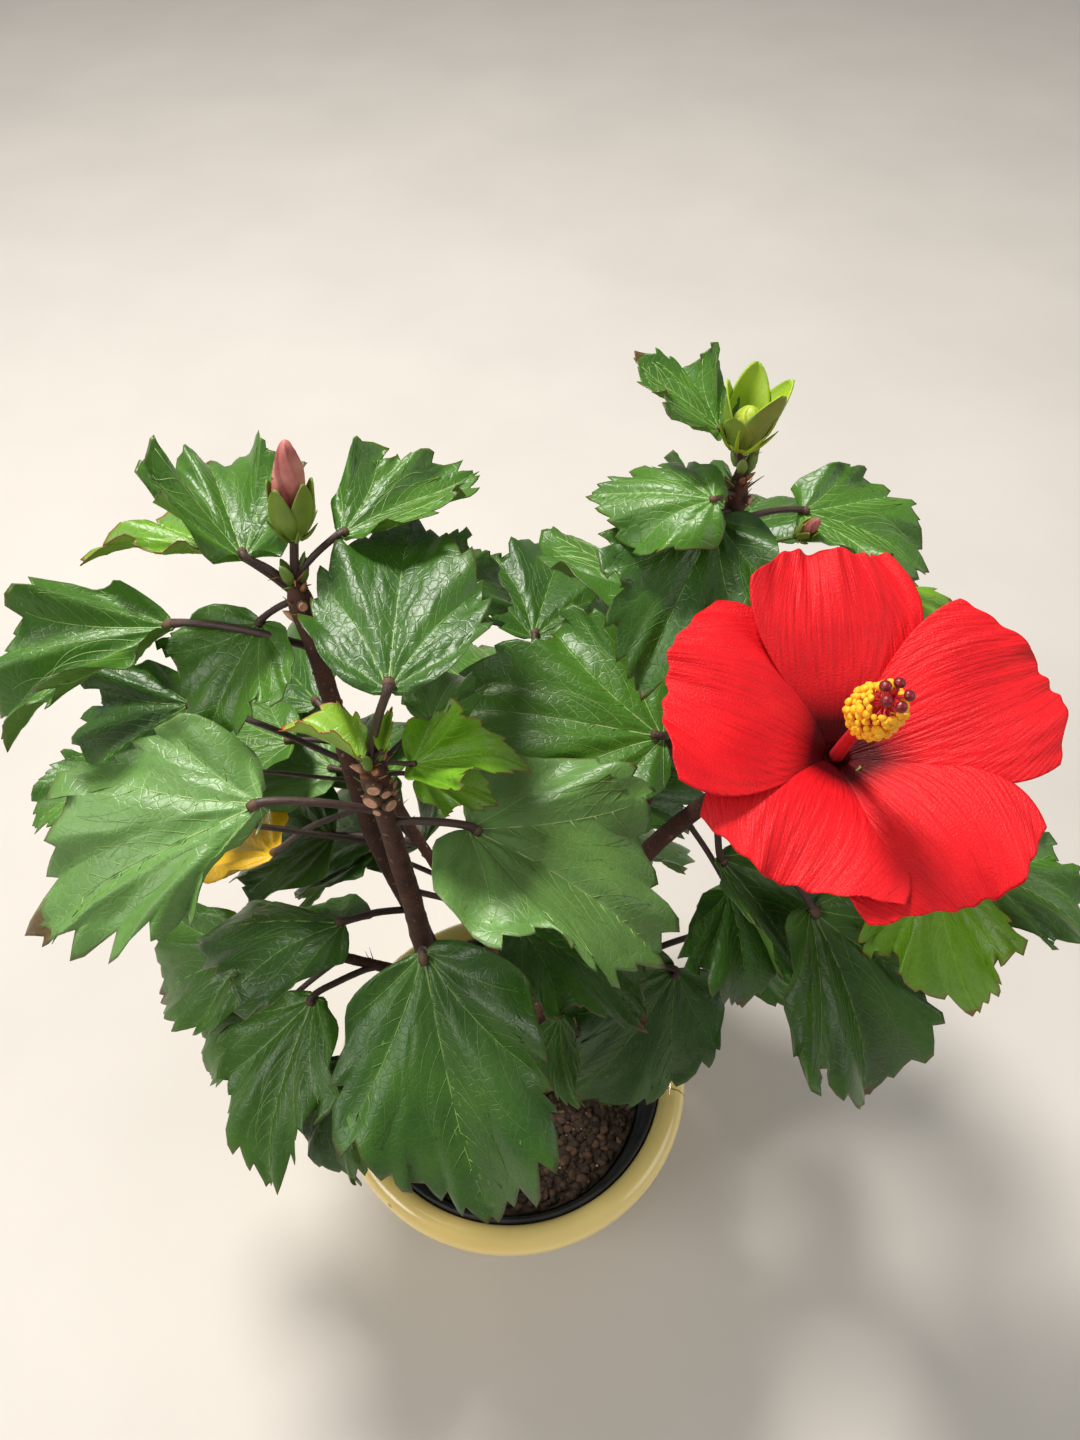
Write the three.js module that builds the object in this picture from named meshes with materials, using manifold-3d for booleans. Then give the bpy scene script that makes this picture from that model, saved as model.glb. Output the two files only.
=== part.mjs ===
// A hibiscus shrub in bloom, standing in its black grower's pot inside a pale yellow pot.
// Millimetres, +Z up. The origin is the centre of the yellow pot's underside, and -Y is the front.

import * as THREE from 'three';
import { mergeVertices } from 'three/addons/utils/BufferGeometryUtils.js';
import Module from 'manifold-3d';

const wasm = await Module();
wasm.setup();

// Driving dimensions
const POT_HEIGHT = 120;
const POT_RIM_RADIUS = 78.5;
const POT_RIM_WIDTH = 11.5;
const POT_RIM_DEPTH = 13;
const POT_RIM_STEPS = 10;
const POT_NECK = 3;
const POT_FOOT_RADIUS = 46;
const POT_FOOT_BEVEL = 3;
const POT_WALL = 4;
const POT_FLOOR = 6;
const GROWER_RIM_DROP = 3;
const GROWER_WALL = 1.6;
const GROWER_LIP = 3;
const GROWER_LIP_DEPTH = 9;
const GROWER_EDGE = 0.6;
const GROWER_FOOT_RADIUS = 39;
const SOIL_DEPTH_BELOW_RIM = 20;
const SOIL_EDGE_DROP = 3;
const SOIL_CROWN = [[0.85, 1], [0.5, 0]];
const SEAT_GAP = 0.3;
const ROUND_SIDES = 48;
const LEAF_THICKNESS = 1.1;
const STALK_RADIUS = 1.15;
const STALK_SIDES = 3;
const STALK_STEPS = 3;
const STALK_BEND = 0.55;
const STALK_HUMP = 0.06;
const STALK_SUNK = 0.06;
const TRUNK_SIDES = 10;
const TRUNK_STEPS = 8;
const LIMB_SIDES = 7;
const LIMB_STEPS = 6;
const LIMB_ROOM = 0.55;
const ROOM_STEPS = 14;
const THIN_SIDES = 6;
const THIN_STEPS = 5;
const PETAL_THICKNESS = 1.2;
const PETAL_HALF_WIDTH = 31;
const PETAL_TWIST = 4;
const PETAL_RUFFLE = 2.2;
const PETAL_ROWS = 5;
const PETAL_COLUMNS = 4;
const THROAT_RADIUS = 3.5;
const COLUMN_LENGTH = 66;
const COLUMN_RADIUS = 1.7;
const ANTHERS_LENGTH = 24;
const ANTHERS_RADIUS = 8;
const ANTHERS_BELOW_TIP = 3;
const BLOOM_SIDES = 10;
const STIGMA_COUNT = 5;
const STIGMA_ARM_RADIUS = 0.7;
const STIGMA_ARM_SIDES = 4;
const STIGMA_REACH = 4.5;
const STIGMA_RISE = 4;
const STIGMA_RADIUS = 1.7;
const CALYX_LENGTH = 24;
const CALYX_RADIUS = 6.5;

const SOIL_TOP = POT_HEIGHT - SOIL_DEPTH_BELOW_RIM;

// Limbs. Each runs along a smooth curve from its foot to its tip, and its solid tapers from one
// radius to the other. The part below the share called bare is the bough, and the part above it
// is the stem of the foliage.
const TRUNK = {
  path: [[1, 4, SOIL_TOP + SEAT_GAP], [1, 4, 106], [-3, 5, 120], [-6, 6, 136]],
  radius: [5.6, 4.4],
};
const TRUNK_FLARE = 1.6;
const FLARE_SHARE = 0.22;
const LIMBS = {
  front: {
    path: [[-6, 6, 136.3], [-20, 7, 166], [-30, 6, 205], [-33, 4, 260], [-36, 4, 305], [-38, 5, 338]],
    radius: [3.9, 2.1],
    bare: 0.36,
  },
  left: {
    path: [
      [-22, 7, 175],
      [-31, 13, 202],
      [-36.5, 18, 228],
      [-46.5, 22, 273],
      [-54.5, 35, 329],
      [-62.5, 51, 369],
    ],
    radius: [2.9, 1.8],
    bare: 0.24,
  },
  right: {
    path: [[-2, 5, 118], [14, 10, 150], [33, 18, 200], [50, 25, 249], [74, 33, 276], [88, 37, 284]],
    radius: [3.8, 1.9],
    bare: 0.84,
  },
  back_right: {
    path: [[28, 16, 188], [42, 34, 232], [60, 54, 280], [70, 68, 330], [75, 79, 368], [76, 83, 386]],
    radius: [2.8, 1.7],
    bare: 0.38,
  },
  low_left: {
    path: [[-26, 7, 186], [-44, 6, 198], [-62, 7, 206], [-76, 9, 210]],
    radius: [2.2, 1.6],
    bare: 0.3,
  },
  low_right: {
    path: [[27, 15, 182], [40, 16, 189], [50, 14, 193], [57, 12, 194]],
    radius: [2.2, 1.5],
    bare: 0.3,
  },
  back: {
    path: [[-3, 6, 122], [-2, 30, 155], [4, 56, 200], [10, 78, 238], [14, 90, 262]],
    radius: [3.2, 1.8],
    bare: 0.4,
  },
  back_left: {
    path: [[-3, 30, 158], [-22, 46, 186], [-42, 62, 220], [-56, 76, 252]],
    radius: [2.4, 1.6],
    bare: 0.3,
  },
};

// Leaves that show from the front, one row each: how far up the foliage's stem the stalk leaves,
// the stalk's length, bearing and rise, the blade's length, bearing and rise, its roll about its
// midrib, its arch along the midrib, its fold across it and its width as a share of the usual.
// Bearings turn from +X towards +Y.
const LEAVES = {
  front: [
    [0.79, 39, 188, 18, 82, 197, -22, -24, 30, 8, 0.95],
    [1.0, 29, 15, 73, 67, 88, 6, -2, 30, 3, 0.9],
    [0.75, 27, 354, 2, 82, 340, -32, 4, 35, 14, 1],
    [0.02, 49, 277, 64, 101, 289, -43, 34, 30, 12, 0.95],
    [0.43, 49, 5, -38, 58, 327, -15, -16, 30, 8, 1],
    [0.95, 29, 57, -10, 30, 6, 3, -15, 20, 10, 1],
    [0.97, 12, 320, 20, 26, 40, 15, 0, 30, 25, 0.8],
    [0.98, 10, 230, 60, 24, 150, 20, 0, 20, 30, 0.8],
  ],
  left: [
    [0.97, 19, 183, 46, 52, 118, 8, 14, 30, -5, 0.85],
    [0.95, 19, 190, 40, 58, 183, -4, -50, 30, 30, 0.6],
    [0.99, 20, 30, 32, 52, 45, 4, 8, 30, 8, 0.85],
    [0.93, 56, 45, -20, 50, 40, -35, 30, 30, 8, 0.9],
    [0.95, 20, 170, -40, 50, 145, -44, -20, 30, 8, 0.9],
    [0.84, 51, 165, -3, 70, 202, -23, -4, 30, 10, 0.8],
    [0.55, 65, 156, 0, 52, 193, -31, -22, 30, 8, 1],
    [0.5, 95, 172, -9, 34, 207, -12, -6, 30, 8, 1],
    [0.3, 97, 172, -5, 42, 205, -54, 0, 30, 10, 0.9],
    [0.42, 65, 164, -47, 46, 145, -35, 0, 30, 8, 1],
    [0.03, 34, 217, 36, 69, 172, -21, 20, 30, -20, 0.95],
  ],
  back_right: [
    [1.0, 25, 173, 60, 34, 134, 14, -17, 30, -5, 0.9],
    [0.9, 11, 211, 33, 44, 141, -4, -3, 30, 8, 0.9],
    [0.88, 8, 214, 30, 62, 248, -6, 14, 30, 8, 0.9],
    [0.85, 29, 25, 0, 50, 343, -18, 4, 30, 8, 0.9],
    [0.6, 60, 27, -4, 42, 357, 0, 0, 30, 8, 0.9],
    [0.22, 14, 243, 42, 84, 171, 3, -14, 25, 6, 0.95],
    [0.4, 40, 104, 10, 78, 98, -26, 0, 30, 8, 1],
    [0.6, 40, 70, 10, 75, 65, -28, 0, 30, 8, 1],
  ],
  right: [
    [0.6, 52, 313, -24, 80, 300, -48, -5, 30, 35, 1.1],
    [0.5, 23, 289, -56, 70, 322, -45, -2, 30, 35, 1],
    [0.85, 70, 337, -7, 58, 296, -45, 55, 30, 8, 0.9],
    [0.9, 85, 341, -8, 52, 340, -22, 0, 30, 8, 0.9],
    [0.1, 36, 322, -50, 46, 285, -48, -5, 30, 8, 1],
  ],
  low_left: [
    [0.98, 24, 180, 4, 61, 182, -37, -25, 30, 8, 0.9],
    [0.35, 27, 209, -2, 74, 250, -36, 21, 30, 10, 0.8],
    [0.1, 40, 235, -22, 52, 272, -45, 42, 30, 10, 0.9],
    [0.7, 40, 209, -32, 44, 197, -39, -14, 30, 10, 0.9],
  ],
  low_right: [
    [1.0, 12, 340, 0, 71, 222, -37, -44, 30, 8, 0.95],
    [0.1, 30, 235, 0, 36, 280, -30, 50, 30, 10, 0.8],
    [0.7, 34, 20, 0, 66, 5, -40, 0, 30, 10, 0.9],
  ],
};

// The hidden side is filled by rule: leaves follow each other up the stem, each turned by the
// golden share of the fan they are dealt over, and a seeded number varies their sizes a little.
const FANS = {
  back: { count: 12, bearing: 12, spread: 105, seed: 42, stalk: 36, length: 74 },
  back_left: { count: 9, bearing: 112, spread: 78, seed: 29, stalk: 32, length: 66 },
};
const GOLDEN_SHARE = 0.618;
// From the lowest leaf of a fan to its highest: the share up the stem, the stalk's rise and the
// blade's rise. Then, about that, the ranges which the seeded numbers are drawn from.
const FAN_CLIMB = { up: [0.04, 1], rise: [-5, 20], dip: [-52, -14] };
const FAN_RANGE = {
  stalk: [0.7, 1.2],
  rise: 16,
  length: [0.72, 1.12],
  ahead: 50,
  dip: 22,
  roll: 44,
  wide: [0.85, 1.05],
};
const FAN_ARCH = 30;
const FAN_FOLD = 9;

// Half of a leaf's outline in shares of its length: a point of the midrib and the point of the
// edge level with it. The edge runs round a rounded base to a side lobe and on to the tip.
const LEAF_STATIONS = [
  [0.0, -0.07, 0.2],
  [0.1, 0.04, 0.38],
  [0.26, 0.28, 0.44],
  [0.42, 0.55, 0.45],
  [0.56, 0.62, 0.29],
  [0.76, 0.82, 0.17],
];
const LEAF_WAVE = 0.03;

// The open bloom faces up and to the front on a curved stalk.
const BLOOM = {
  throat: [104.6, 11.8, 329.2],
  facing: [0.13, -0.35, 0.93],
  column: [-0.05, -0.43, 0.9],
  stalk: [[88, 37, 284], [94, 37, 290], [100, 30, 299], [101.5, 20, 307]],
  stalkRadius: 1.5,
};
// Each petal's bearing round the throat, seen from the front, and its length.
const PETALS = [[11, 65], [95, 62], [166, 61], [243, 51], [306, 57]];
// A petal's way out from the throat and its rise above it, as shares of its length: the first
// share goes with the distance along the petal and the second with its square.
const PETAL_OUT = [0.78, 0.14];
const PETAL_RISE = [0.78, -0.47];
// Its half width grows from the first share of the usual, by a part of a sine wave.
const PETAL_WIDTH = { foot: 0.12, swell: 0.92, turn: 2.14, power: 1.15 };
const PETAL_ROUNDING = 0.1;
const RUFFLE_WAVES = 5;
// Turned outlines, as shares of a radius and a length.
const CALYX_PROFILE = [[0, 0], [0.5, 0.02], [1, 0.3], [1, 0.7], [0.95, 1], [0, 1.08]];
const ANTHERS_PROFILE = [[0, 0], [0.7, 0.15], [1, 0.45], [0.85, 0.8], [0, 1]];
const BUD_PROFILE = [
  [0, 0],
  [0.45, 0.02],
  [0.9, 0.15],
  [1, 0.35],
  [0.85, 0.6],
  [0.6, 0.8],
  [0.25, 0.95],
  [0, 1],
];
// Closed buds stand on short stalks at two tips: each one's foot, the way it points, its length
// and its radius.
const BUDS = {
  left: { foot: [-60.5, 55, 380], bearing: 60, rise: 82, length: 33, radius: 6 },
  back_right: { foot: [74, 82, 394], bearing: 50, rise: 70, length: 23, radius: 8 },
};
const BUD_FOOT = 0.99;
const BUD_STALK_RADIUS = 1.5;
const BUD_SIDES = 8;

const FINISHES = {
  pot: { color: 0xeadf9c, roughness: 0.35 },
  grower: { color: 0x161616, roughness: 0.5 },
  soil: { color: 0x2e2119, roughness: 0.95 },
  bark: { color: 0x4a3226, roughness: 0.9 },
  leaf: { color: 0x2f6b2a, roughness: 0.45 },
  petal: { color: 0xd81020, roughness: 0.5 },
};

// Numbers from 0 to 1 that follow from the seed alone.
const SEED_SPREAD = 7919;
const SEED_OFFSET = 13;
const SEED_FACTOR = 16807;
const SEED_MODULUS = 2147483647;
function seeded(seed) {
  let state = seed * SEED_SPREAD + SEED_OFFSET;
  return () => {
    state = (state * SEED_FACTOR) % SEED_MODULUS;
    return state / SEED_MODULUS;
  };
}

const { lerp } = THREE.MathUtils;

function heading(bearing, rise) {
  const b = THREE.MathUtils.degToRad(bearing);
  const r = THREE.MathUtils.degToRad(rise);
  return new THREE.Vector3(Math.cos(r) * Math.cos(b), Math.cos(r) * Math.sin(b), Math.sin(r));
}

function curveThrough(path) {
  return new THREE.CatmullRomCurve3(path.map((p) => new THREE.Vector3(...p)), false, 'centripetal');
}

// Solids and meshes
function solidOf(positions, triangles) {
  const geometry = new THREE.BufferGeometry();
  geometry.setAttribute('position', new THREE.Float32BufferAttribute(positions, 3));
  geometry.setIndex(triangles);
  return solidFromGeometry(geometry);
}

function solidFromGeometry(geometry) {
  const bare = geometry.clone();
  bare.deleteAttribute('normal');
  bare.deleteAttribute('uv');
  const merged = mergeVertices(bare, 1e-4);
  const mesh = new wasm.Mesh({
    numProp: 3,
    vertProperties: new Float32Array(merged.attributes.position.array),
    triVerts: new Uint32Array(merged.index.array),
  });
  return new wasm.Manifold(mesh);
}

function meshFromSolid(name, solid, finish) {
  const { vertProperties, triVerts } = solid.getMesh();
  const geometry = new THREE.BufferGeometry();
  geometry.setAttribute('position', new THREE.BufferAttribute(vertProperties, 3));
  geometry.setIndex(new THREE.BufferAttribute(triVerts, 1));
  const mesh = new THREE.Mesh(geometry, new THREE.MeshStandardMaterial(finish));
  mesh.name = name;
  return mesh;
}

function turned(profile, sides = ROUND_SIDES) {
  const points = profile.map(([r, z]) => new THREE.Vector2(r, z));
  const lathe = new THREE.LatheGeometry(points, sides);
  lathe.rotateX(Math.PI / 2);
  return solidFromGeometry(lathe);
}

// A round limb along part of a curve, closed at both ends and lengthened there if asked.
function limb(curve, from, to, radiusAt, sides, steps, longer = 0) {
  const positions = [];
  const triangles = [];
  let side = new THREE.Vector3(1, 0, 0);
  for (let i = 0; i <= steps; i += 1) {
    const u = Math.min(1, from + (to - from) * i / steps);
    const centre = curve.getPointAt(u);
    const along = curve.getTangentAt(u);
    side = side.addScaledVector(along, -side.dot(along)).normalize();
    const up = new THREE.Vector3().crossVectors(along, side);
    if (i === 0) centre.addScaledVector(along, -longer);
    if (i === steps) centre.addScaledVector(along, longer);
    for (let k = 0; k < sides; k += 1) {
      const a = 2 * Math.PI * k / sides;
      const p = centre.clone();
      p.addScaledVector(side, radiusAt(u) * Math.cos(a));
      p.addScaledVector(up, radiusAt(u) * Math.sin(a));
      positions.push(p.x, p.y, p.z);
    }
  }
  for (let i = 0; i < steps; i += 1) {
    for (let k = 0; k < sides; k += 1) {
      const a = i * sides + k;
      const b = i * sides + (k + 1) % sides;
      triangles.push(a, b, b + sides, a, b + sides, a + sides);
    }
  }
  const last = steps * sides;
  for (let k = 1; k < sides - 1; k += 1) {
    triangles.push(0, k + 1, k);
    triangles.push(last, last + k, last + k + 1);
  }
  return solidOf(positions, triangles);
}

// A thin solid between two faces, each a grid of points that a function of the row and the
// column gives with its outward normal.
function sheet(rows, columns, thickness, placeAt) {
  const positions = [];
  const triangles = [];
  for (const face of [0.5, -0.5]) {
    for (let i = 0; i <= rows; i += 1) {
      for (let j = 0; j <= columns; j += 1) {
        const { point, normal } = placeAt(i / rows, j / columns);
        const p = point.clone().addScaledVector(normal, face * thickness);
        positions.push(p.x, p.y, p.z);
      }
    }
  }
  const wide = columns + 1;
  const under = (rows + 1) * wide;
  for (let i = 0; i < rows; i += 1) {
    for (let j = 0; j < columns; j += 1) {
      const a = i * wide + j;
      const b = a + wide;
      triangles.push(a, b, b + 1, a, b + 1, a + 1);
      triangles.push(under + a, under + b + 1, under + b, under + a, under + a + 1, under + b + 1);
    }
  }
  const rim = [];
  for (let j = 0; j < columns; j += 1) rim.push(j);
  for (let i = 0; i < rows; i += 1) rim.push(i * wide + columns);
  for (let j = columns; j > 0; j -= 1) rim.push(rows * wide + j);
  for (let i = rows; i > 0; i -= 1) rim.push(i * wide);
  for (let k = 0; k < rim.length; k += 1) {
    const a = rim[k];
    const b = rim[(k + 1) % rim.length];
    triangles.push(a, b, under + b, a, under + b, under + a);
  }
  return solidOf(positions, triangles);
}

// The blade of one leaf. The surface arches along the midrib and folds across it.
function bladeFrame(base, length, bearing, rise, roll, arch, fold, wide) {
  const chord = heading(bearing, rise);
  const flat = heading(bearing + 90, 0);
  const up = new THREE.Vector3().crossVectors(chord, flat);
  const turn = THREE.MathUtils.degToRad(roll);
  const side = flat.clone().multiplyScalar(Math.cos(turn)).addScaledVector(up, Math.sin(turn));
  const normal = new THREE.Vector3().crossVectors(chord, side);
  const bend = THREE.MathUtils.degToRad(arch);
  const crease = THREE.MathUtils.degToRad(fold);
  return (x, y, lift) => {
    const hump = bend / 2 * x * (1 - x);
    const slope = bend / 2 * (1 - 2 * x);
    const ahead = chord.clone().multiplyScalar(Math.cos(slope)).addScaledVector(normal, Math.sin(slope));
    const point = base.clone();
    point.addScaledVector(chord, length * x);
    point.addScaledVector(normal, length * hump);
    point.addScaledVector(side, length * wide * y * Math.cos(crease));
    point.addScaledVector(normal, length * (wide * Math.abs(y) * Math.sin(crease) + lift));
    return { point, normal: new THREE.Vector3().crossVectors(ahead, side) };
  };
}

function blade(base, shape) {
  const place = bladeFrame(base, ...shape);
  const positions = [];
  const triangles = [];
  const count = LEAF_STATIONS.length;
  const perFace = count * 3 + 1;
  for (const face of [0.5, -0.5]) {
    LEAF_STATIONS.forEach(([middle, x, y], i) => {
      const lift = LEAF_WAVE * (i % 2 === 0 ? -1 : 1);
      for (const [px, py, pz] of [[x, y, lift], [middle, 0, 0], [x, -y, lift]]) {
        const { point, normal } = place(px, py, pz);
        const p = point.addScaledVector(normal, face * LEAF_THICKNESS);
        positions.push(p.x, p.y, p.z);
      }
    });
    const { point, normal } = place(1, 0, 0);
    const p = point.addScaledVector(normal, face * LEAF_THICKNESS);
    positions.push(p.x, p.y, p.z);
  }
  const top = [];
  for (let i = 0; i < count - 1; i += 1) {
    const a = i * 3;
    const b = a + 3;
    top.push([a, a + 1, b + 1], [a, b + 1, b]);
    top.push([a + 1, a + 2, b + 2], [a + 1, b + 2, b + 1]);
  }
  const end = (count - 1) * 3;
  const tip = count * 3;
  top.push([end, end + 1, tip], [end + 1, end + 2, tip]);
  for (const [a, b, c] of top) {
    triangles.push(a, b, c, perFace + a, perFace + c, perFace + b);
  }
  const rim = [1, 0];
  for (let i = 1; i < count; i += 1) rim.push(i * 3);
  rim.push(tip);
  for (let i = count - 1; i >= 0; i -= 1) rim.push(i * 3 + 2);
  for (let k = 0; k < rim.length; k += 1) {
    const a = rim[k];
    const b = rim[(k + 1) % rim.length];
    triangles.push(a, b, perFace + b, a, perFace + b, perFace + a);
  }
  return solidOf(positions, triangles);
}

// A leaf: its stalk starts inside the stem and ends under the blade's foot.
function leaf(curve, stemFrom, row) {
  const [up, stalk, bearing, rise, ...shape] = row;
  const [length, ahead, dip] = shape;
  const foot = curve.getPointAt(stemFrom + (1 - stemFrom) * up);
  const base = foot.clone().addScaledVector(heading(bearing, rise), stalk);
  const hump = foot.clone().lerp(base, STALK_BEND).add(new THREE.Vector3(0, 0, stalk * STALK_HUMP));
  const sunk = base.clone().addScaledVector(heading(ahead, dip), length * STALK_SUNK);
  const stalkCurve = new THREE.CatmullRomCurve3([foot, hump, base, sunk], false, 'centripetal');
  return [
    limb(stalkCurve, 0, 1, () => STALK_RADIUS, STALK_SIDES, STALK_STEPS),
    blade(base, shape),
  ];
}

function fanRows({ count, bearing, spread, seed, stalk, length }) {
  const next = seeded(seed);
  const rows = [];
  for (let i = 0; i < count; i += 1) {
    const share = i / (count - 1);
    const turn = bearing + spread * ((i * GOLDEN_SHARE) % 1);
    rows.push([
      lerp(...FAN_CLIMB.up, share),
      stalk * lerp(...FAN_RANGE.stalk, next()),
      turn,
      lerp(...FAN_CLIMB.rise, share) + FAN_RANGE.rise * (next() - 0.5),
      length * lerp(...FAN_RANGE.length, next()),
      turn + FAN_RANGE.ahead * (next() - 0.5),
      lerp(...FAN_CLIMB.dip, share) + FAN_RANGE.dip * (next() - 0.5),
      FAN_RANGE.roll * (next() - 0.5),
      FAN_ARCH,
      FAN_FOLD,
      lerp(...FAN_RANGE.wide, next()),
    ]);
  }
  return rows;
}

// A turned shape that stands on a point and points along a direction. Its profile is given in
// shares of its radius and its length.
function turnedAlong(profile, radius, length, foot, along, sides) {
  const points = profile.map(([r, z]) => new THREE.Vector2(r * radius, z * length));
  const lathe = new THREE.LatheGeometry(points, sides);
  const turn = new THREE.Quaternion().setFromUnitVectors(new THREE.Vector3(0, 1, 0), along);
  lathe.applyQuaternion(turn);
  lathe.translate(foot.x, foot.y, foot.z);
  return solidFromGeometry(lathe);
}

function budPieces(tip, { foot, bearing, rise, length, radius }) {
  const base = new THREE.Vector3(...foot);
  const along = heading(bearing, rise);
  const stalkCurve = new THREE.LineCurve3(tip, base.clone().addScaledVector(along, radius / 4));
  return [
    limb(stalkCurve, 0, 1, () => BUD_STALK_RADIUS, THIN_SIDES, 1),
    turnedAlong(BUD_PROFILE, radius, length, base, along, BUD_SIDES),
  ];
}

// The bloom's petals open from the throat like a trumpet, widen, and curl back at their ends.
function bloomFrame() {
  const facing = new THREE.Vector3(...BLOOM.facing).normalize();
  const across = new THREE.Vector3().crossVectors(new THREE.Vector3(0, 1, 0), facing).normalize();
  const upward = new THREE.Vector3().crossVectors(facing, across);
  return { throat: new THREE.Vector3(...BLOOM.throat), facing, across, upward };
}

// The point of a petal at a share along it and a share from -1 to 1 across it.
function petalPlace({ throat, facing, across, upward }, bearing, length) {
  const a = THREE.MathUtils.degToRad(bearing);
  const out = across.clone().multiplyScalar(Math.cos(a)).addScaledVector(upward, Math.sin(a));
  const side = new THREE.Vector3().crossVectors(facing, out);
  const { foot, swell, turn, power } = PETAL_WIDTH;
  return (along, t) => {
    const s = along * (1 - PETAL_ROUNDING * Math.abs(t) ** 3);
    const radial = THROAT_RADIUS + length * (PETAL_OUT[0] * s + PETAL_OUT[1] * s ** 2);
    const rise = length * (PETAL_RISE[0] * s + PETAL_RISE[1] * s ** 2);
    const climb = (PETAL_RISE[0] + 2 * PETAL_RISE[1] * s) / (PETAL_OUT[0] + 2 * PETAL_OUT[1] * s);
    const half = PETAL_HALF_WIDTH * (foot + swell * Math.sin(turn * s) ** power);
    const twist = PETAL_TWIST * t * s;
    const ruffle = PETAL_RUFFLE * s ** 3 * Math.sin(RUFFLE_WAVES * t + bearing);
    const point = throat.clone();
    point.addScaledVector(out, radial);
    point.addScaledVector(facing, rise + twist + ruffle);
    point.addScaledVector(side, half * t);
    const normal = facing.clone().addScaledVector(out, -climb).normalize();
    return { point, normal };
  };
}

function stigmaPieces(tip, along, { across, upward }) {
  const pieces = [];
  for (let k = 0; k < STIGMA_COUNT; k += 1) {
    const a = 2 * Math.PI * k / STIGMA_COUNT;
    const out = across.clone().multiplyScalar(Math.cos(a)).addScaledVector(upward, Math.sin(a));
    const foot = tip.clone().addScaledVector(along, -STIGMA_ARM_RADIUS);
    const end = tip.clone().addScaledVector(out, STIGMA_REACH).addScaledVector(along, STIGMA_RISE);
    const arm = new THREE.LineCurve3(foot, end);
    pieces.push(limb(arm, 0, 1, () => STIGMA_ARM_RADIUS, STIGMA_ARM_SIDES, 1));
    const pad = new THREE.IcosahedronGeometry(STIGMA_RADIUS, 0);
    pad.translate(end.x, end.y, end.z);
    pieces.push(solidFromGeometry(pad));
  }
  return pieces;
}

function bloomPieces() {
  const frame = bloomFrame();
  const { throat, facing } = frame;
  const petals = PETALS.map(([bearing, length]) => {
    const place = petalPlace(frame, bearing, length);
    return sheet(PETAL_ROWS, PETAL_COLUMNS, PETAL_THICKNESS, (i, j) => place(i, 2 * j - 1));
  });
  const calyxFoot = throat.clone().addScaledVector(facing, -CALYX_LENGTH);
  const along = new THREE.Vector3(...BLOOM.column).normalize();
  const tip = throat.clone().addScaledVector(along, COLUMN_LENGTH);
  const anthersFoot = tip.clone().addScaledVector(along, -ANTHERS_LENGTH - ANTHERS_BELOW_TIP);
  return [
    ...petals,
    turnedAlong(CALYX_PROFILE, CALYX_RADIUS, CALYX_LENGTH, calyxFoot, facing, BLOOM_SIDES),
    limb(new THREE.LineCurve3(throat, tip), 0, 1, () => COLUMN_RADIUS, THIN_SIDES, 1),
    turnedAlong(ANTHERS_PROFILE, ANTHERS_RADIUS, ANTHERS_LENGTH, anthersFoot, along, BLOOM_SIDES),
    ...stigmaPieces(tip, along, frame),
  ];
}

const group = new THREE.Group();

function add(name, solid, finish) {
  group.add(meshFromSolid(name, solid, finish));
}

// The pots and the soil. The yellow pot's rim is a round roll, which starts under its outer edge,
// goes over the top and ends level with its middle inside.
function rimRoll() {
  const points = [];
  for (let i = 0; i <= POT_RIM_STEPS; i += 1) {
    const a = THREE.MathUtils.degToRad(lerp(-80, 180, i / POT_RIM_STEPS));
    const radius = POT_RIM_RADIUS + POT_RIM_WIDTH / 2 * (Math.cos(a) - 1);
    const height = POT_HEIGHT + POT_RIM_DEPTH / 2 * (Math.sin(a) - 1);
    points.push([radius, height]);
  }
  return points;
}

function potSolid() {
  const inner = POT_RIM_RADIUS - POT_RIM_WIDTH;
  const low = POT_HEIGHT - POT_RIM_DEPTH;
  return turned([
    [0, 0],
    [POT_FOOT_RADIUS - POT_FOOT_BEVEL, 0],
    [POT_FOOT_RADIUS, POT_FOOT_BEVEL],
    [inner + POT_WALL, low - POT_NECK],
    ...rimRoll(),
    [inner, low],
    [POT_FOOT_RADIUS - POT_WALL, POT_FLOOR],
    [0, POT_FLOOR],
  ]);
}

function growerPotSolid() {
  const rim = POT_RIM_RADIUS - POT_RIM_WIDTH - SEAT_GAP;
  const top = POT_HEIGHT - GROWER_RIM_DROP;
  const step = top - GROWER_LIP_DEPTH;
  const bottom = POT_FLOOR + SEAT_GAP;
  return turned([
    [0, bottom],
    [GROWER_FOOT_RADIUS, bottom],
    [rim - GROWER_LIP, step - GROWER_EDGE],
    [rim, step],
    [rim, top - GROWER_EDGE],
    [rim - GROWER_EDGE, top],
    [rim - GROWER_WALL, top],
    [rim - GROWER_WALL, step + GROWER_LIP - GROWER_EDGE],
    [rim - GROWER_LIP - GROWER_WALL, step],
    [GROWER_FOOT_RADIUS - GROWER_WALL, bottom + GROWER_WALL],
    [0, bottom + GROWER_WALL],
  ]);
}

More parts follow.
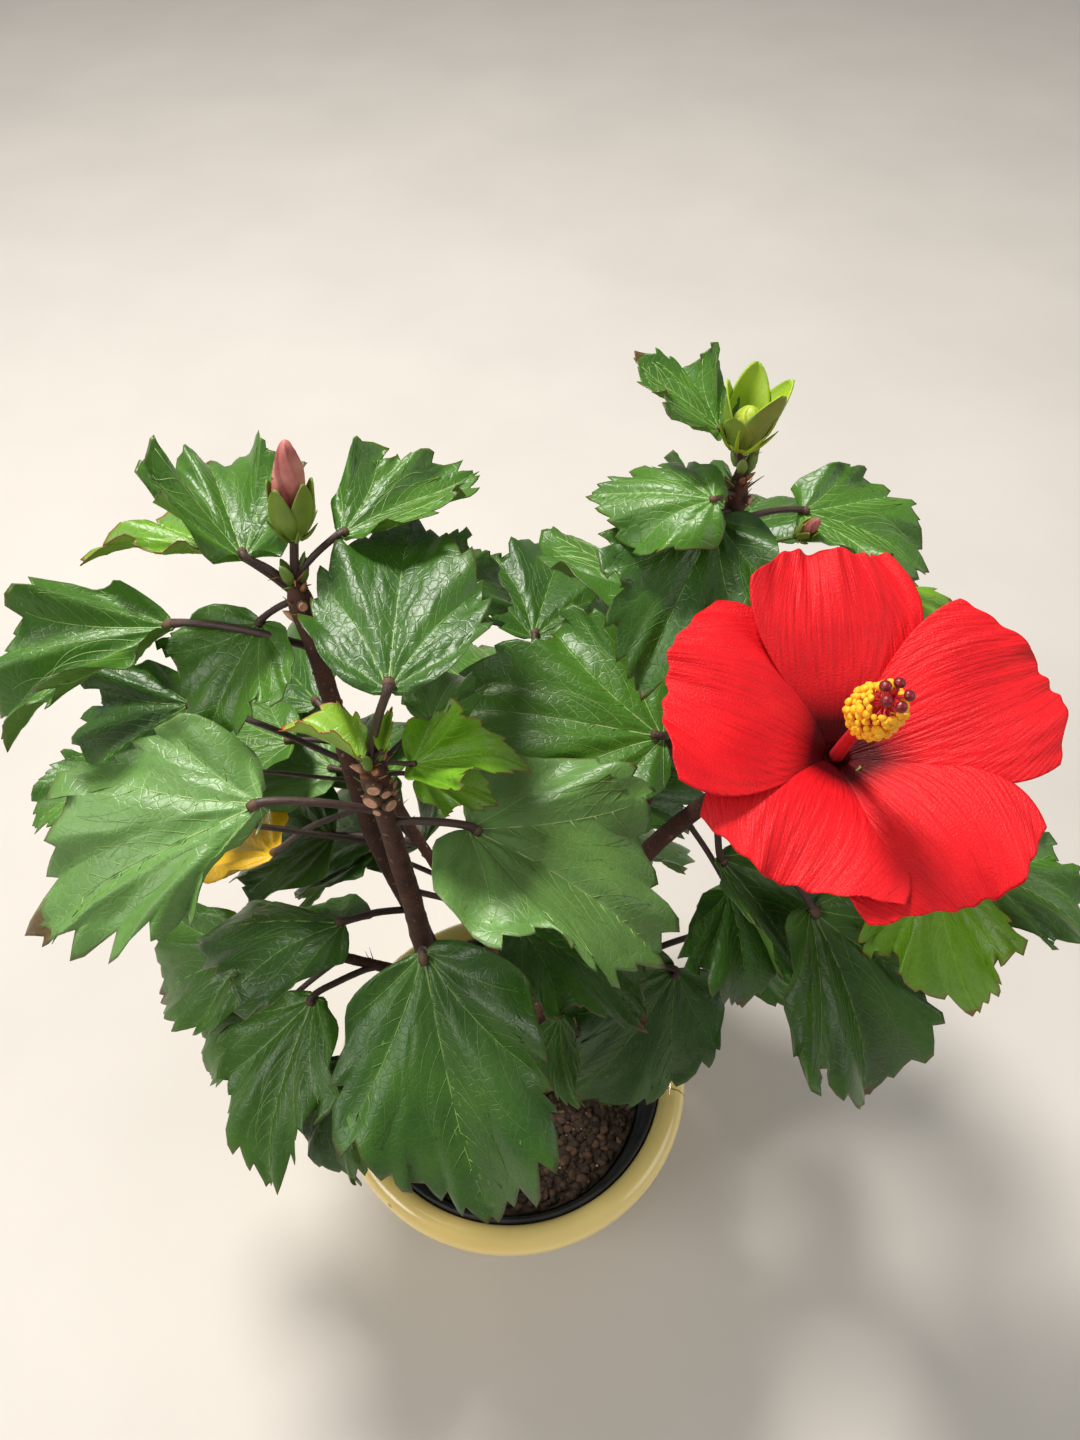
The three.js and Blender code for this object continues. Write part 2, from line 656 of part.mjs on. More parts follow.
function soilSolid() {
  const gap = GROWER_WALL + 3 * SEAT_GAP;
  const bottom = POT_FLOOR + SEAT_GAP;
  const step = POT_HEIGHT - GROWER_RIM_DROP - GROWER_LIP_DEPTH;
  const top = POT_RIM_RADIUS - POT_RIM_WIDTH - SEAT_GAP - GROWER_LIP;
  const radiusAt = (z) => {
    const share = (z - bottom) / (step - bottom);
    return lerp(GROWER_FOOT_RADIUS, top, share) - gap;
  };
  const floor = bottom + GROWER_WALL + SEAT_GAP;
  const edge = SOIL_TOP - SOIL_EDGE_DROP;
  return turned([
    [0, floor],
    [radiusAt(floor), floor],
    [radiusAt(edge), edge],
    ...SOIL_CROWN.map(([share, drop]) => [radiusAt(SOIL_TOP) * share, SOIL_TOP - drop]),
    [0, SOIL_TOP],
  ]);
}

add('pot', potSolid(), FINISHES.pot);
add('grower_pot', growerPotSolid(), FINISHES.grower);
add('soil', soilSolid(), FINISHES.soil);

// The trunk and the boughs
const trunkCurve = curveThrough(TRUNK.path);
function trunkRadius(u) {
  const flare = 1 + (TRUNK_FLARE - 1) * Math.max(0, 1 - u / FLARE_SHARE) ** 2;
  return lerp(...TRUNK.radius, u) * flare;
}
add('trunk', limb(trunkCurve, 0, 1, trunkRadius, TRUNK_SIDES, TRUNK_STEPS), FINISHES.bark);

const curves = {};
const limbRadius = {};
for (const [name, spec] of Object.entries(LIMBS)) {
  curves[name] = curveThrough(spec.path);
  limbRadius[name] = (u) => lerp(...spec.radius, u);
}

// Each bough is cut clear of the limbs made before it, and only its largest piece is kept.
function roomAround(curve, radiusAt, sides) {
  return limb(curve, 0, 1, (u) => radiusAt(u) + LIMB_ROOM, sides, ROOM_STEPS, SEAT_GAP);
}
function largest(solid) {
  return solid.decompose().sort((a, b) => b.volume() - a.volume())[0];
}
const rooms = [roomAround(trunkCurve, trunkRadius, TRUNK_SIDES)];
for (const [name, spec] of Object.entries(LIMBS)) {
  let solid = limb(curves[name], 0, spec.bare, limbRadius[name], LIMB_SIDES, LIMB_STEPS);
  for (const room of rooms) solid = solid.subtract(room);
  rooms.push(roomAround(curves[name], limbRadius[name], LIMB_SIDES));
  add(`bough_${name}`, largest(solid), FINISHES.bark);
}

// The foliage
for (const [name, spec] of Object.entries(LIMBS)) {
  const from = spec.bare + SEAT_GAP / curves[name].getLength();
  const pieces = [limb(curves[name], from, 1, limbRadius[name], LIMB_SIDES, LIMB_STEPS)];
  const rows = LEAVES[name] ?? fanRows(FANS[name]);
  for (const row of rows) pieces.push(...leaf(curves[name], from, row));
  if (BUDS[name]) pieces.push(...budPieces(curves[name].getPointAt(BUD_FOOT), BUDS[name]));
  add(`foliage_${name}`, wasm.Manifold.union(pieces), FINISHES.leaf);
}

// The bloom and its stalk
const stalkCurve = curveThrough(BLOOM.stalk);
const joint = roomAround(curves.right, limbRadius.right, LIMB_SIDES);
const stalk = limb(stalkCurve, 0, 1, () => BLOOM.stalkRadius, THIN_SIDES, THIN_STEPS).subtract(joint);
add('bloom', wasm.Manifold.union([stalk, ...bloomPieces()]), FINISHES.petal);

export default group;
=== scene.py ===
"""Dresses the solids of a potted hibiscus shrub in bloom: glazed pot, bark, leaves and flower."""

import math
from functools import cache

import bpy
import numpy as np
from bpy.props import FloatProperty, FloatVectorProperty, IntProperty, PointerProperty
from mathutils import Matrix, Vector
from mathutils.bvhtree import BVHTree


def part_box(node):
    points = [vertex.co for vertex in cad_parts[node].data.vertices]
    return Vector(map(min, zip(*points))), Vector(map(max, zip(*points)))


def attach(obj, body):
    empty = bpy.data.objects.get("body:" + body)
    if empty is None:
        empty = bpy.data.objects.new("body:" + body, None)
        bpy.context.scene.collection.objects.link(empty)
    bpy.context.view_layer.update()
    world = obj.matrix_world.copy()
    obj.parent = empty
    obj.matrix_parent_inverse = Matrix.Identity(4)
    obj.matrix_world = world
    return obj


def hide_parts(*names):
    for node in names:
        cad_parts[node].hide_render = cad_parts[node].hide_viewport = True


bl_info = {
    "name": "Potted hibiscus",
    "version": (1, 0, 0),
    "blender": (4, 5, 0),
    "location": "3D View > Sidebar > Hibiscus",
    "description": "Dresses the solids of a potted hibiscus shrub in bloom",
    "category": "Object",
}

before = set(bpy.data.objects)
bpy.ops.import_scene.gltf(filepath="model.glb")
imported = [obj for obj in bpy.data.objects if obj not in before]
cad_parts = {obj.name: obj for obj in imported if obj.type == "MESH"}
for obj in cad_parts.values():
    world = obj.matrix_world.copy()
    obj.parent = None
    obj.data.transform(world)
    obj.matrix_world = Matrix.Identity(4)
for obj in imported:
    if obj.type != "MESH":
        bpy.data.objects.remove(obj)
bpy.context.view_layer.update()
MM = 0.001

# Sizes of the pots and the compost in millimetres. The pot's outer sizes come from the frame.
POT_RIM_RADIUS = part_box("pot")[1].x / MM
POT_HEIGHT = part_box("pot")[1].z / MM
POT_RIM_WIDTH = 11.5
POT_RIM_DEPTH = 13
POT_FOOT_RADIUS = 46
POT_WALL = 4
POT_FLOOR = 6
POT_NECK = 3
POT_SIDES = 160
CRACK_BEARING = -9.4
CRACK_WANDER = 0.0012
GROWER_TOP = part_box("grower_pot")[1].z / MM
GROWER_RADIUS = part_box("grower_pot")[1].x / MM
GROWER_FOOT_RADIUS = 39
GROWER_WALL = 1.6
GROWER_LIP = 3
GROWER_LIP_DEPTH = 9
SOIL_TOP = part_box("soil")[1].z / MM
SOIL_RADIUS = 58.5
SEAT_GAP = 0.3

# The limbs of the shrub in millimetres, as its solids have them: the route of each, its radius
# at the foot and at the tip, and the share of its length below its leaves.
TRUNK = {"path": [(1, 4, 100.3), (1, 4, 106), (-3, 5, 120), (-6, 6, 136)], "radius": (5.6, 4.4)}
TRUNK_FLARE = 1.6
FLARE_SHARE = 0.22
BARK_BULK = {"front": (1.15, 1.45), "left": (1.45, 1.5), "right": (1.2, 1.55), "back_right": (1.25, 1.3)}
PLAIN_BULK = (1.15, 1.15)
LIMBS = {
    "front": {
        "path": [(-6, 6, 136.3), (-20, 7, 166), (-30, 6, 205), (-33, 4, 260), (-36, 4, 305), (-38, 5, 338)],
        "radius": (3.9, 2.1),
        "bare": 0.36,
    },
    "left": {
        "path": [
            (-22, 7, 175), (-31, 13, 202), (-36.5, 18, 228), (-46.5, 22, 273), (-54.5, 35, 329),
            (-62.5, 51, 369),
        ],
        "radius": (2.9, 1.8),
        "bare": 0.24,
    },
    "right": {
        "path": [(-2, 5, 118), (14, 10, 150), (33, 18, 200), (50, 25, 249), (74, 33, 276), (88, 37, 284)],
        "radius": (3.8, 1.9),
        "bare": 0.84,
    },
    "back_right": {
        "path": [(28, 16, 188), (42, 34, 232), (60, 54, 280), (70, 68, 330), (75, 79, 368), (76, 83, 386)],
        "radius": (2.8, 1.7),
        "bare": 0.38,
    },
    "low_left": {
        "path": [(-26, 7, 186), (-44, 6, 198), (-62, 7, 206), (-76, 9, 210)],
        "radius": (2.2, 1.6),
        "bare": 0.3,
    },
    "low_right": {
        "path": [(27, 15, 182), (40, 16, 189), (50, 14, 193), (57, 12, 194)],
        "radius": (2.2, 1.5),
        "bare": 0.3,
    },
    "back": {
        "path": [(-3, 6, 122), (-2, 30, 155), (4, 56, 200), (10, 78, 238), (14, 90, 262)],
        "radius": (3.2, 1.8),
        "bare": 0.4,
    },
    "back_left": {
        "path": [(-3, 30, 158), (-22, 46, 186), (-42, 62, 220), (-56, 76, 252)],
        "radius": (2.4, 1.6),
        "bare": 0.3,
    },
}

# The leaves, one row each: how far up the stem the stalk leaves, the stalk's length, bearing and
# rise, the blade's length, bearing and rise, its roll, its arch, its fold and its width, then the
# finish, the outline and the curl of the blade.
# A finish of deep, mid or sunlit gives a blade painted shade, painted half light or painted sunlight on one
# green.
LEAVES = {
    "front": [
        (0.79, 39, 188, 18, 86, 198, -22, -20, 30, 8, 0.95, "sunlit", "slanted", "drooping"),
        (1.0, 29, 15, 73, 66, 88, 9, -2, 14, 3, 0.86, "deep", "ovate", "calm"),
        (0.75, 27, 354, 2, 81, 340, -32, -2, 35, 14, 0.98, "sunlit", "notched", "wavy"),
        (0.02, 49, 277, 64, 97, 286, -38, 20, 26, 8, 0.9, "deep", "large", "calm"),
        (0.43, 46, 0.5, -33, 58, 327, -15, -16, 30, 8, 1, "deep", "lobed", "calm"),
        (0.95, 29, 57, -10, 30, 75, -14, 0, 20, 10, 1, "mid", "lobed", "wavy"),
        (0.97, 12, 357, 4, 34, 3, 6, 22, 30, 14, 0.9, "bright", "lobed", "twisted"),
        (0.98, 8, 250, 55, 25, 160, 14, 25, 20, 14, 1, "young", "ovate", "folded"),
        (0.99, 7, 340, 50, 13, 75, 40, 0, 10, 30, 0.7, "young", "ovate", "folded"),
        (0.93, 14, 10, -12, 25, 345, -14, 10, 25, 10, 0.9, "bright", "lobed", "wavy"),
    ],
    "left": [
        (0.97, 19, 183, 46, 50, 113, 4, 4, 30, 2, 0.98, "mid", "lobed", "crumpled"),
        (0.95, 23, 165, 36, 45, 180, 3, 22, 26, 8, 0.55, "bright", "pointed", "wavy"),
        (0.99, 20, 30, 32, 51, 40, -8, 4, 30, 8, 0.85, "mid", "pointed", "upturned"),
        (0.93, 52, 45, -22, 42, 30, -35, 30, 30, 8, 0.9, "deep", "lobed", "wavy"),
        (0.95, 20, 170, -40, 42, 240, -34, 4, 30, 8, 1.2, "mid", "lobed", "wavy"),
        (0.84, 51, 165, -3, 70, 202, -23, -4, 30, 10, 0.8, "mid", "pointed", "folded"),
        (0.55, 61, 159.5, 5.5, 52, 193, -31, -22, 30, 8, 1, "deep", "broad", "wavy"),
        (0.5, 96, 169.5, -12.5, 34, 207, -12, -6, 30, 8, 1, "mid", "pointed", "wavy"),
        (0.3, 97, 172, -5, 42, 205, -54, 0, 30, 10, 0.9, "mid", "lobed", "wavy"),
        (0.42, 65, 164, -47, 46, 145, -35, 0, 30, 8, 1, "yellow", "ovate", "calm"),
        (0.03, 34, 217, 36, 69, 172, -21, 20, 30, -20, 0.95, "deep", "lobed", "drooping"),
    ],
    "back_right": [
        (1.0, 14, 173, 56, 34, 151, 20, 4, 26, 6, 0.9, "mid", "lobed", "upturned"),
        (0.92, 23, 239, 31, 39, 160, -12, -16, 34, 4, 0.95, "mid", "broad", "rolled"),
        (0.88, 9.5, 221, 16, 60, 240, -32, -14, 30, 8, 0.9, "deep", "broad", "calm"),
        (0.85, 29, 25, -10, 49, 348, -20, 4, 30, 8, 0.9, "mid", "broad", "wavy"),
        (0.6, 60, 24, -12, 40, 350, -8, 0, 30, 8, 0.9, "bright", "pointed", "wavy"),
        (0.22, 18, 246, 44, 84, 171, 3, -14, 25, 6, 0.95, "mid", "lobed", "calm"),
        (0.4, 40, 104, 10, 78, 98, -26, 0, 30, 8, 1, "mid", "broad", "wavy"),
        (0.6, 40, 70, 10, 75, 65, -28, 0, 30, 8, 1, "deep", "lobed", "wavy"),
    ],
    "right": [
        (0.6, 52, 313, -24, 80, 300, -48, -5, 30, 35, 1.1, "deep", "lobed", "drooping"),
        (0.5, 23, 289, -56, 70, 322, -45, -2, 30, 35, 1, "deep", "ovate", "wavy"),
        (0.85, 69, 333.5, -2.5, 58, 296, -45, 55, 30, 8, 0.9, "bright", "lobed", "wavy"),
        (0.9, 85, 341, -8, 52, 340, -22, 0, 30, 8, 0.9, "mid", "lobed", "wavy"),
        (0.1, 36, 322, -50, 46, 285, -48, -5, 30, 8, 1, "deep", "broad", "calm"),
    ],
    "low_left": [
        (0.98, 24, 180, 4, 61, 182, -37, -25, 30, 8, 0.9, "mid", "ovate", "calm"),
        (0.35, 27, 213, 5.5, 74, 250, -36, 21, 30, 10, 0.8, "mid", "pointed", "calm"),
        (0.1, 40, 235, -22, 52, 272, -45, 42, 30, 10, 0.9, "deep", "ovate", "wavy"),
        (0.7, 40, 209, -32, 44, 197, -39, -14, 30, 10, 0.9, "mid", "lobed", "wavy"),
    ],
    "low_right": [
        (1.0, 12, 345, -9, 71, 222, -37, -44, 30, 8, 0.95, "deep", "broad", "drooping"),
        (0.1, 30, 235, 0, 36, 280, -30, 50, 30, 10, 0.8, "mid", "pointed", "wavy"),
        (0.7, 34, 20, 0, 66, 5, -40, 0, 30, 10, 0.9, "deep", "lobed", "calm"),
    ],
}

# The hidden side follows the rule of the solids.
FANS = {
    "back": {"count": 12, "bearing": 12, "spread": 105, "seed": 42, "stalk": 36, "length": 74},
    "back_left": {"count": 9, "bearing": 112, "spread": 78, "seed": 29, "stalk": 32, "length": 66},
}
GOLDEN_SHARE = 0.618
FAN_CLIMB = {"up": (0.04, 1), "rise": (-5, 20), "dip": (-52, -14)}
FAN_RANGE = {
    "stalk": (0.7, 1.2),
    "rise": 16,
    "length": (0.72, 1.12),
    "ahead": 50,
    "dip": 22,
    "roll": 44,
    "wide": (0.85, 1.05),
}
FAN_ARCH = 30
FAN_FOLD = 9
# The hidden leaves take painted shade, painted half light and painted sunlight in turn through these
# finishes.
FAN_FINISHES = ["mid", "deep", "sunlit", "deep"]
FAN_OUTLINES = ["broad", "lobed", "ovate", "lobed", "pointed"]
FAN_CURLS = ["wavy", "drooping", "calm"]

# Half margins of leaves, in shares of their length, from beside the stalk to the tip
MARGINS = {
    "broad": [
        (-0.045, 0.05), (-0.1, 0.16), (-0.07, 0.3), (0.05, 0.41), (0.2, 0.455), (0.36, 0.475), (0.5, 0.465),
        (0.6, 0.405), (0.69, 0.33), (0.78, 0.25), (0.87, 0.155), (0.94, 0.07), (1, 0),
    ],
    "lobed": [
        (-0.03, 0.05), (-0.05, 0.16), (0.0, 0.29), (0.1, 0.385), (0.24, 0.43), (0.37, 0.47), (0.47, 0.515),
        (0.515, 0.4), (0.55, 0.31), (0.65, 0.3), (0.78, 0.22), (0.89, 0.11), (0.95, 0.05), (1, 0),
    ],
    "ovate": [
        (-0.01, 0.03), (0.0, 0.13), (0.05, 0.25), (0.15, 0.36), (0.29, 0.425), (0.44, 0.435), (0.57, 0.4),
        (0.68, 0.33), (0.78, 0.25), (0.87, 0.155), (0.94, 0.07), (1, 0),
    ],
    "pointed": [
        (-0.01, 0.04), (0.02, 0.15), (0.08, 0.27), (0.18, 0.36), (0.31, 0.42), (0.41, 0.455), (0.47, 0.36),
        (0.52, 0.29), (0.62, 0.275), (0.75, 0.2), (0.86, 0.115), (0.94, 0.05), (1, 0),
    ],
    "notched": [
        (-0.05, 0.05), (-0.11, 0.17), (-0.08, 0.31), (0.04, 0.41), (0.18, 0.44), (0.28, 0.42), (0.335, 0.35),
        (0.39, 0.3), (0.5, 0.335), (0.61, 0.32), (0.72, 0.27), (0.82, 0.19), (0.92, 0.09), (1, 0),
    ],
    "wedge": [
        (0.0, 0.02), (0.05, 0.05), (0.12, 0.085), (0.21, 0.135), (0.31, 0.205), (0.42, 0.235), (0.54, 0.225),
        (0.66, 0.19), (0.74, 0.145), (0.83, 0.09), (0.91, 0.045), (1, 0),
    ],
    "shouldered": [
        (-0.02, 0.06), (-0.03, 0.2), (0.02, 0.34), (0.1, 0.43), (0.22, 0.445), (0.34, 0.44), (0.5, 0.43),
        (0.6, 0.4), (0.655, 0.3), (0.75, 0.215), (0.86, 0.12), (0.94, 0.05), (1, 0),
    ],
    "blunt": [
        (-0.03, 0.06), (0.0, 0.22), (0.08, 0.34), (0.18, 0.41), (0.3, 0.395), (0.42, 0.36), (0.54, 0.375),
        (0.64, 0.375), (0.74, 0.32), (0.83, 0.235), (0.9, 0.14), (0.96, 0.06), (1, 0),
    ],
    "spread": [
        (0.0, 0.05), (0.04, 0.2), (0.12, 0.33), (0.25, 0.385), (0.38, 0.415), (0.5, 0.44), (0.6, 0.4),
        (0.7, 0.33), (0.79, 0.285), (0.79, 0.2), (0.85, 0.14), (0.93, 0.07), (1, 0),
    ],
}

# Each outline's two halves, and the seed of its teeth and veins
OUTLINES = {
    "broad": ("broad", "lobed", 3),
    "lobed": ("lobed", "lobed", 8),
    "ovate": ("ovate", "ovate", 14),
    "pointed": ("pointed", "ovate", 21),
    "notched": ("broad", "notched", 27),
    "slanted": ("wedge", "shouldered", 35),
    "large": ("blunt", "spread", 41),
}

# The ends of the main veins, the point that each bends towards, and its width
MAIN_VEINS = [
    ((0.985, 0), (0.5, 0.012), 1.0),
    ((0.53, 0.41), (0.33, 0.18), 0.8),
    ((0.53, -0.41), (0.33, -0.18), 0.8),
    ((0.2, 0.385), (0.12, 0.17), 0.62),
    ((0.2, -0.385), (0.12, -0.17), 0.62),
    ((-0.03, 0.24), (0.01, 0.12), 0.45),
    ((-0.03, -0.24), (0.01, -0.12), 0.45),
]
BRANCHING_VEINS = 5
TEETH_FROM = 0.33
TEETH_COUNT = 7
TOOTH_SHAPE = [(0, 0), (0.3, 0.45), (0.6, 0.85), (0.84, 1), (0.93, 0.4)]
PLAIN_STEPS = 9
RINGS = [*np.linspace(0.045, 0.9, 20), 0.93, 0.958, 0.98, 1]

# How far a curl raises a leaf's waves, lobes, tip and edge, as shares of its length, and how many
# degrees it folds each half further up
CURLS = {
    "calm": {"wave": 0.9, "lobe": -0.02, "tip": -0.05, "roll": -0.01, "fold": (0, 0)},
    "wavy": {"wave": 1.7, "lobe": 0.04, "tip": -0.08, "roll": 0.0, "fold": (0, 4)},
    "drooping": {"wave": 1.2, "lobe": -0.04, "tip": -0.05, "roll": -0.02, "fold": (-4, 0)},
    "upturned": {"wave": 1.7, "lobe": 0.1, "tip": 0.05, "roll": 0.03, "fold": (6, 12)},
    "crumpled": {"wave": 3.6, "lobe": 0.14, "tip": -0.18, "roll": 0.05, "fold": (22, 6)},
    "rolled": {"wave": 2.2, "lobe": -0.16, "tip": 0.1, "roll": -0.08, "fold": (-12, -14)},
    "twisted": {"wave": 4.5, "lobe": 0.16, "tip": -0.5, "roll": 0.09, "fold": (14, 22)},
    "folded": {"wave": 1.6, "lobe": 0.04, "tip": -0.08, "roll": 0.0, "fold": (32, 20)},
}
CREASE_TURN = 8
CREASE_SQUARE = 0.0009
CREASE_ROOT = 0.03
STALK_BEND = 0.55
STALK_HUMP = 0.06
STALK_SUNK = 0.06
CROWN_SWELL = 0.5
CROWN_PLACE = 0.945
COLLAR_SWELL = 0.28
KNOT_SWELL = 0.05
KNOT_GAP = 2.1
TIP_TAPER = (0.85, 0.65, 0.4)
SCAR_GAP = 3.2
SCARS_FROM = 0.04
SCARS_SPAN = 0.95
SCAR_SUNK = 0.1
JOINT_RADII = (1.1, 1.24, 1.28, 1.2, 0.95)
STALK_SIDES = 10
CROWNS = {
    "front": {
        "stubs": [
            (0.925, (-0.3, -0.8, 0.5), 2.6), (0.905, (0.6, -0.65, 0.4), 2.3), (0.955, (0.0, -0.8, 0.5), 2.2),
            (0.895, (-0.2, -0.9, 0.2), 1.4), (0.94, (0.5, -0.8, 0.5), 1.6),
        ],
        "scales": 6,
        "spikes": 16,
        "tendrils": 3,
        "towards": 250,
        "husks": 18,
    },
    "left": {
        "stubs": [(0.955, (0.3, -0.8, 0.5), 1.5)], "scales": 4, "spikes": 12, "tendrils": 0, "towards": 0,
        "husks": 7,
    },
    "back_right": {
        "stubs": [(0.95, (0.7, -0.6, 0.3), 1.2)], "scales": 4, "spikes": 13, "tendrils": 1, "towards": 330,
        "husks": 7,
    },
}
STALK_RADII = [(60, 1.5), (40, 1.25), (0, 0.85)]

# The open bloom, as its solid has it
BLOOM = {
    "throat": (104.6, 11.8, 329.2),
    "facing": (0.13, -0.35, 0.93),
    "column": (-0.05, -0.43, 0.9),
    "stalk": [(88, 37, 284), (94, 37, 290), (100, 30, 299), (101.5, 20, 307)],
}
PETALS = [
    (24, 67, 28, (0.95, 1.02, 1.0, 0.92, 0.82)),
    (97, 62, 28, (1.14, 1.01, 1.0, 1.01, 0.93)),
    (167, 61, 31, (0.94, 1.02, 1.0, 0.98, 0.95)),
    (243, 51, 30, (0.98, 1.0, 1.0, 0.92, 0.87)),
    (306, 57, 30, (0.9, 0.94, 1.03, 1.05, 1.0)),
]
END_PLACES = (-1, -0.5, 0, 0.5, 1)
PETAL_OUT = (0.78, 0.14)
PETAL_RISE = (0.78, -0.47)
PETAL_WIDTH = {"foot": 0.12, "swell": 0.92, "turn": 2.14, "power": 1.15}
PETAL_ROUNDING = 0.1
PETAL_TWIST = 4
PETAL_RUFFLE = 2.2
RUFFLE_WAVES = 5
PETAL_RIB = 0.07
PETAL_DENT = 0.28
PETAL_SHIFT = (0.37, 0.11)
PETAL_ROWS = 64
PETAL_COLUMNS = 80
THROAT_RADIUS = 3.5
COLUMN_LENGTH = 66
COLUMN_BOW = 1.5
CALYX_LENGTH = 24
BUDS = {
    "left": {
        "foot": (-60.5, 55, 380), "bearing": 60, "rise": 82, "length": 32, "radius": 6.2, "cup": 0.62,
        "flare": 0.1, "petals": 0.95, "slim": 0.82, "kind": 0, "green": 2, "stalk": 1.4, "bark": 0,
    },
    "back_right": {
        "foot": (74, 82, 392), "bearing": 50, "rise": 72, "length": 24, "radius": 7.4, "cup": 1,
        "flare": 0.85, "petals": 0.5, "slim": 0.66, "kind": 1, "green": 3, "stalk": 1.5, "bark": 0,
        "sepals": (0.8, 0.48, 0.88, 0.95, 1.0), "turned": -17,
    },
    "small": {
        "foot": (99, 82, 357), "bearing": 300, "rise": 62, "length": 13, "radius": 2.9, "cup": 0.7,
        "flare": 0.0, "petals": 0.92, "slim": 0.8, "kind": 0, "green": 3, "stalk": 0.8, "bark": 1,
        "from": (76, 77, 356),
    },
}

# Headings that start a frame about a line which never lies along them
TUBE_ASIDE = (0.31, 0.17, 0.93)
TURNED_ASIDE = (0.13, 0.92, 0.37)
WOOD_ASIDE = (0.3, 0.5, 0.81)
TUBE_DOME = 0.3
MAP_UNIT = 100
FULL_TURN = 6.283
MAP_SHIFT = (1.7, 2.3)

# The veins: which finishes the main and the branch veins of each kind of leaf have, how wide they
# are, and how far they stand out above and below the blade
# The vein tones of the deep, mid and sunlit kinds follow their painted shade and sunlight: darker on the deep
# kind, paler on the mid and sunlit ones.
VEIN_TONES = {
    "deep": (3, 0), "mid": (4, 3), "sunlit": (4, 3), "bright": (1, 1), "young": (1, 1), "yellow": (2, 2),
}
VEIN_HALF_WIDTH = 0.46
VEIN_MOST = 1.1
FULL_LEAF = 80
VEIN_PROUD = (0.16, 0.13, 0.0019)
VEIN_UNDER = (0.32, 0.34)

# The two tones of each kind of leaf, its underside, its edge and the mask from which that shows; the deep,
# mid and sunlit kinds are one green in painted shade, painted half light and painted sunlight
# The sunlit tones are also paler and greyer for a painted sheen.
LEAF_COLOURS = {
    "deep": ((0.020, 0.074, 0.004), (0.036, 0.110, 0.006)),
    "mid": ((0.038, 0.120, 0.006), (0.058, 0.165, 0.010)),
    "sunlit": ((0.092, 0.200, 0.040), (0.122, 0.255, 0.060)),
    "bright": ((0.110, 0.270, 0.008), (0.150, 0.330, 0.012)),
    "young": ((0.170, 0.340, 0.010), (0.240, 0.420, 0.016)),
    "yellow": ((0.850, 0.500, 0.008), (0.720, 0.400, 0.008)),
}
# The undersides of the deep, mid and sunlit kinds follow the same painted shade, half light and sunlight.
UNDERSIDES = {
    "deep": (0.080, 0.190, 0.016),
    "mid": (0.105, 0.225, 0.020),
    "sunlit": (0.115, 0.240, 0.026),
    "bright": (0.190, 0.350, 0.022),
    "young": (0.250, 0.420, 0.030),
    "yellow": (0.800, 0.520, 0.030),
}
EDGE_COLOURS = {"young": (0.30, 0.05, 0.02), "bright": (0.20, 0.07, 0.02), "yellow": (0.45, 0.2, 0.01)}
EDGE_COLOUR = (0.10, 0.055, 0.015)
EDGE_START = 0.3
UNDERSIDE_SHADE = 0.8
EDGE_FROM = {"young": 0.03, "bright": 0.1}
LEAF_KINDS_AND_LIGHTS = list(LEAF_COLOURS)

# How far a burnt tip reaches and fades, in shares of the blade, and how thin the edge's mask is
BURNT_TIP = 0.06
BURNT_FADE = 0.02
EDGE_POWER = 60

# The turns that a leaf of the hidden side tries, nearest first, to lie clear of the others: how
# many degrees its stalk rises, its blade dips and both swing round further
CLEARING_TURNS = sorted(
    (
        (rise, dip, swing)
        for rise in range(-24, 25, 4)
        for dip in range(-16, 17, 4)
        for swing in (-18, -9, 0, 9, 18)
    ),
    key=lambda turn: math.hypot(*turn),
)
LONE_TURN = [(0, 0, 0)]

# The compost: its waves, its roughness, how it stands in the pot, and its grains with the share of
# all, the sizes, the proportions and the colours of each kind
SOIL_FALL = 2.6
SOIL_DIP = 0.8
SOIL_WAVE = 0.05
SOIL_WAVES = (9, 7, 5, 3.6, 2.6, 1.9, 1.5)
SOIL_ROUGHNESS = 0.35
SOIL_RINGS = 45
SOIL_SIDES = 170
SOIL_CLEARANCE = 4.0
SOIL_TAPER = 0.61
GRAIN_INSET = 1.5
TRUNK_FOOT = (1, 4)
TRUNK_CLEARANCE = 7
GRAINS = [
    ("bark_chips", 0.24, (1.0, 3.0), (1.0, 0.75, 0.45), ((0.060, 0.030, 0.016), (0.150, 0.078, 0.042))),
    ("compost_crumbs", 0.64, (0.8, 2.4), (1.0, 0.85, 0.75), ((0.024, 0.014, 0.008), (0.068, 0.040, 0.022))),
    ("pale_chips", 0.09, (0.6, 1.9), (1.0, 0.6, 0.35), ((0.26, 0.13, 0.07), (0.16, 0.08, 0.045))),
    ("grit_grains", 0.03, (0.3, 0.7), (1.0, 0.9, 0.8), ((0.55, 0.50, 0.42), (0.40, 0.36, 0.30))),
]
STUB_RINGS = (0.9, 0.74, 0.58, 0.4, 0.22)
ANTHERS = 124
ANTHERS_FROM = 0.57
ANTHERS_SPAN = 0.36
SPIKE_TAPER = 0.85
GOLDEN_TURN = 2.39996
EVEN_SEPALS = (0.94, 1.0, 1.06, 0.94, 1.0)
SEPAL_THICKNESS = 0.6
SEPAL_OPENS = 0.35
SEPAL_OVERLAP = 0.05
SEPAL_BULGE = 0.06
SEPAL_WAVE = 0.05
FOLD_THICKNESS = 0.3

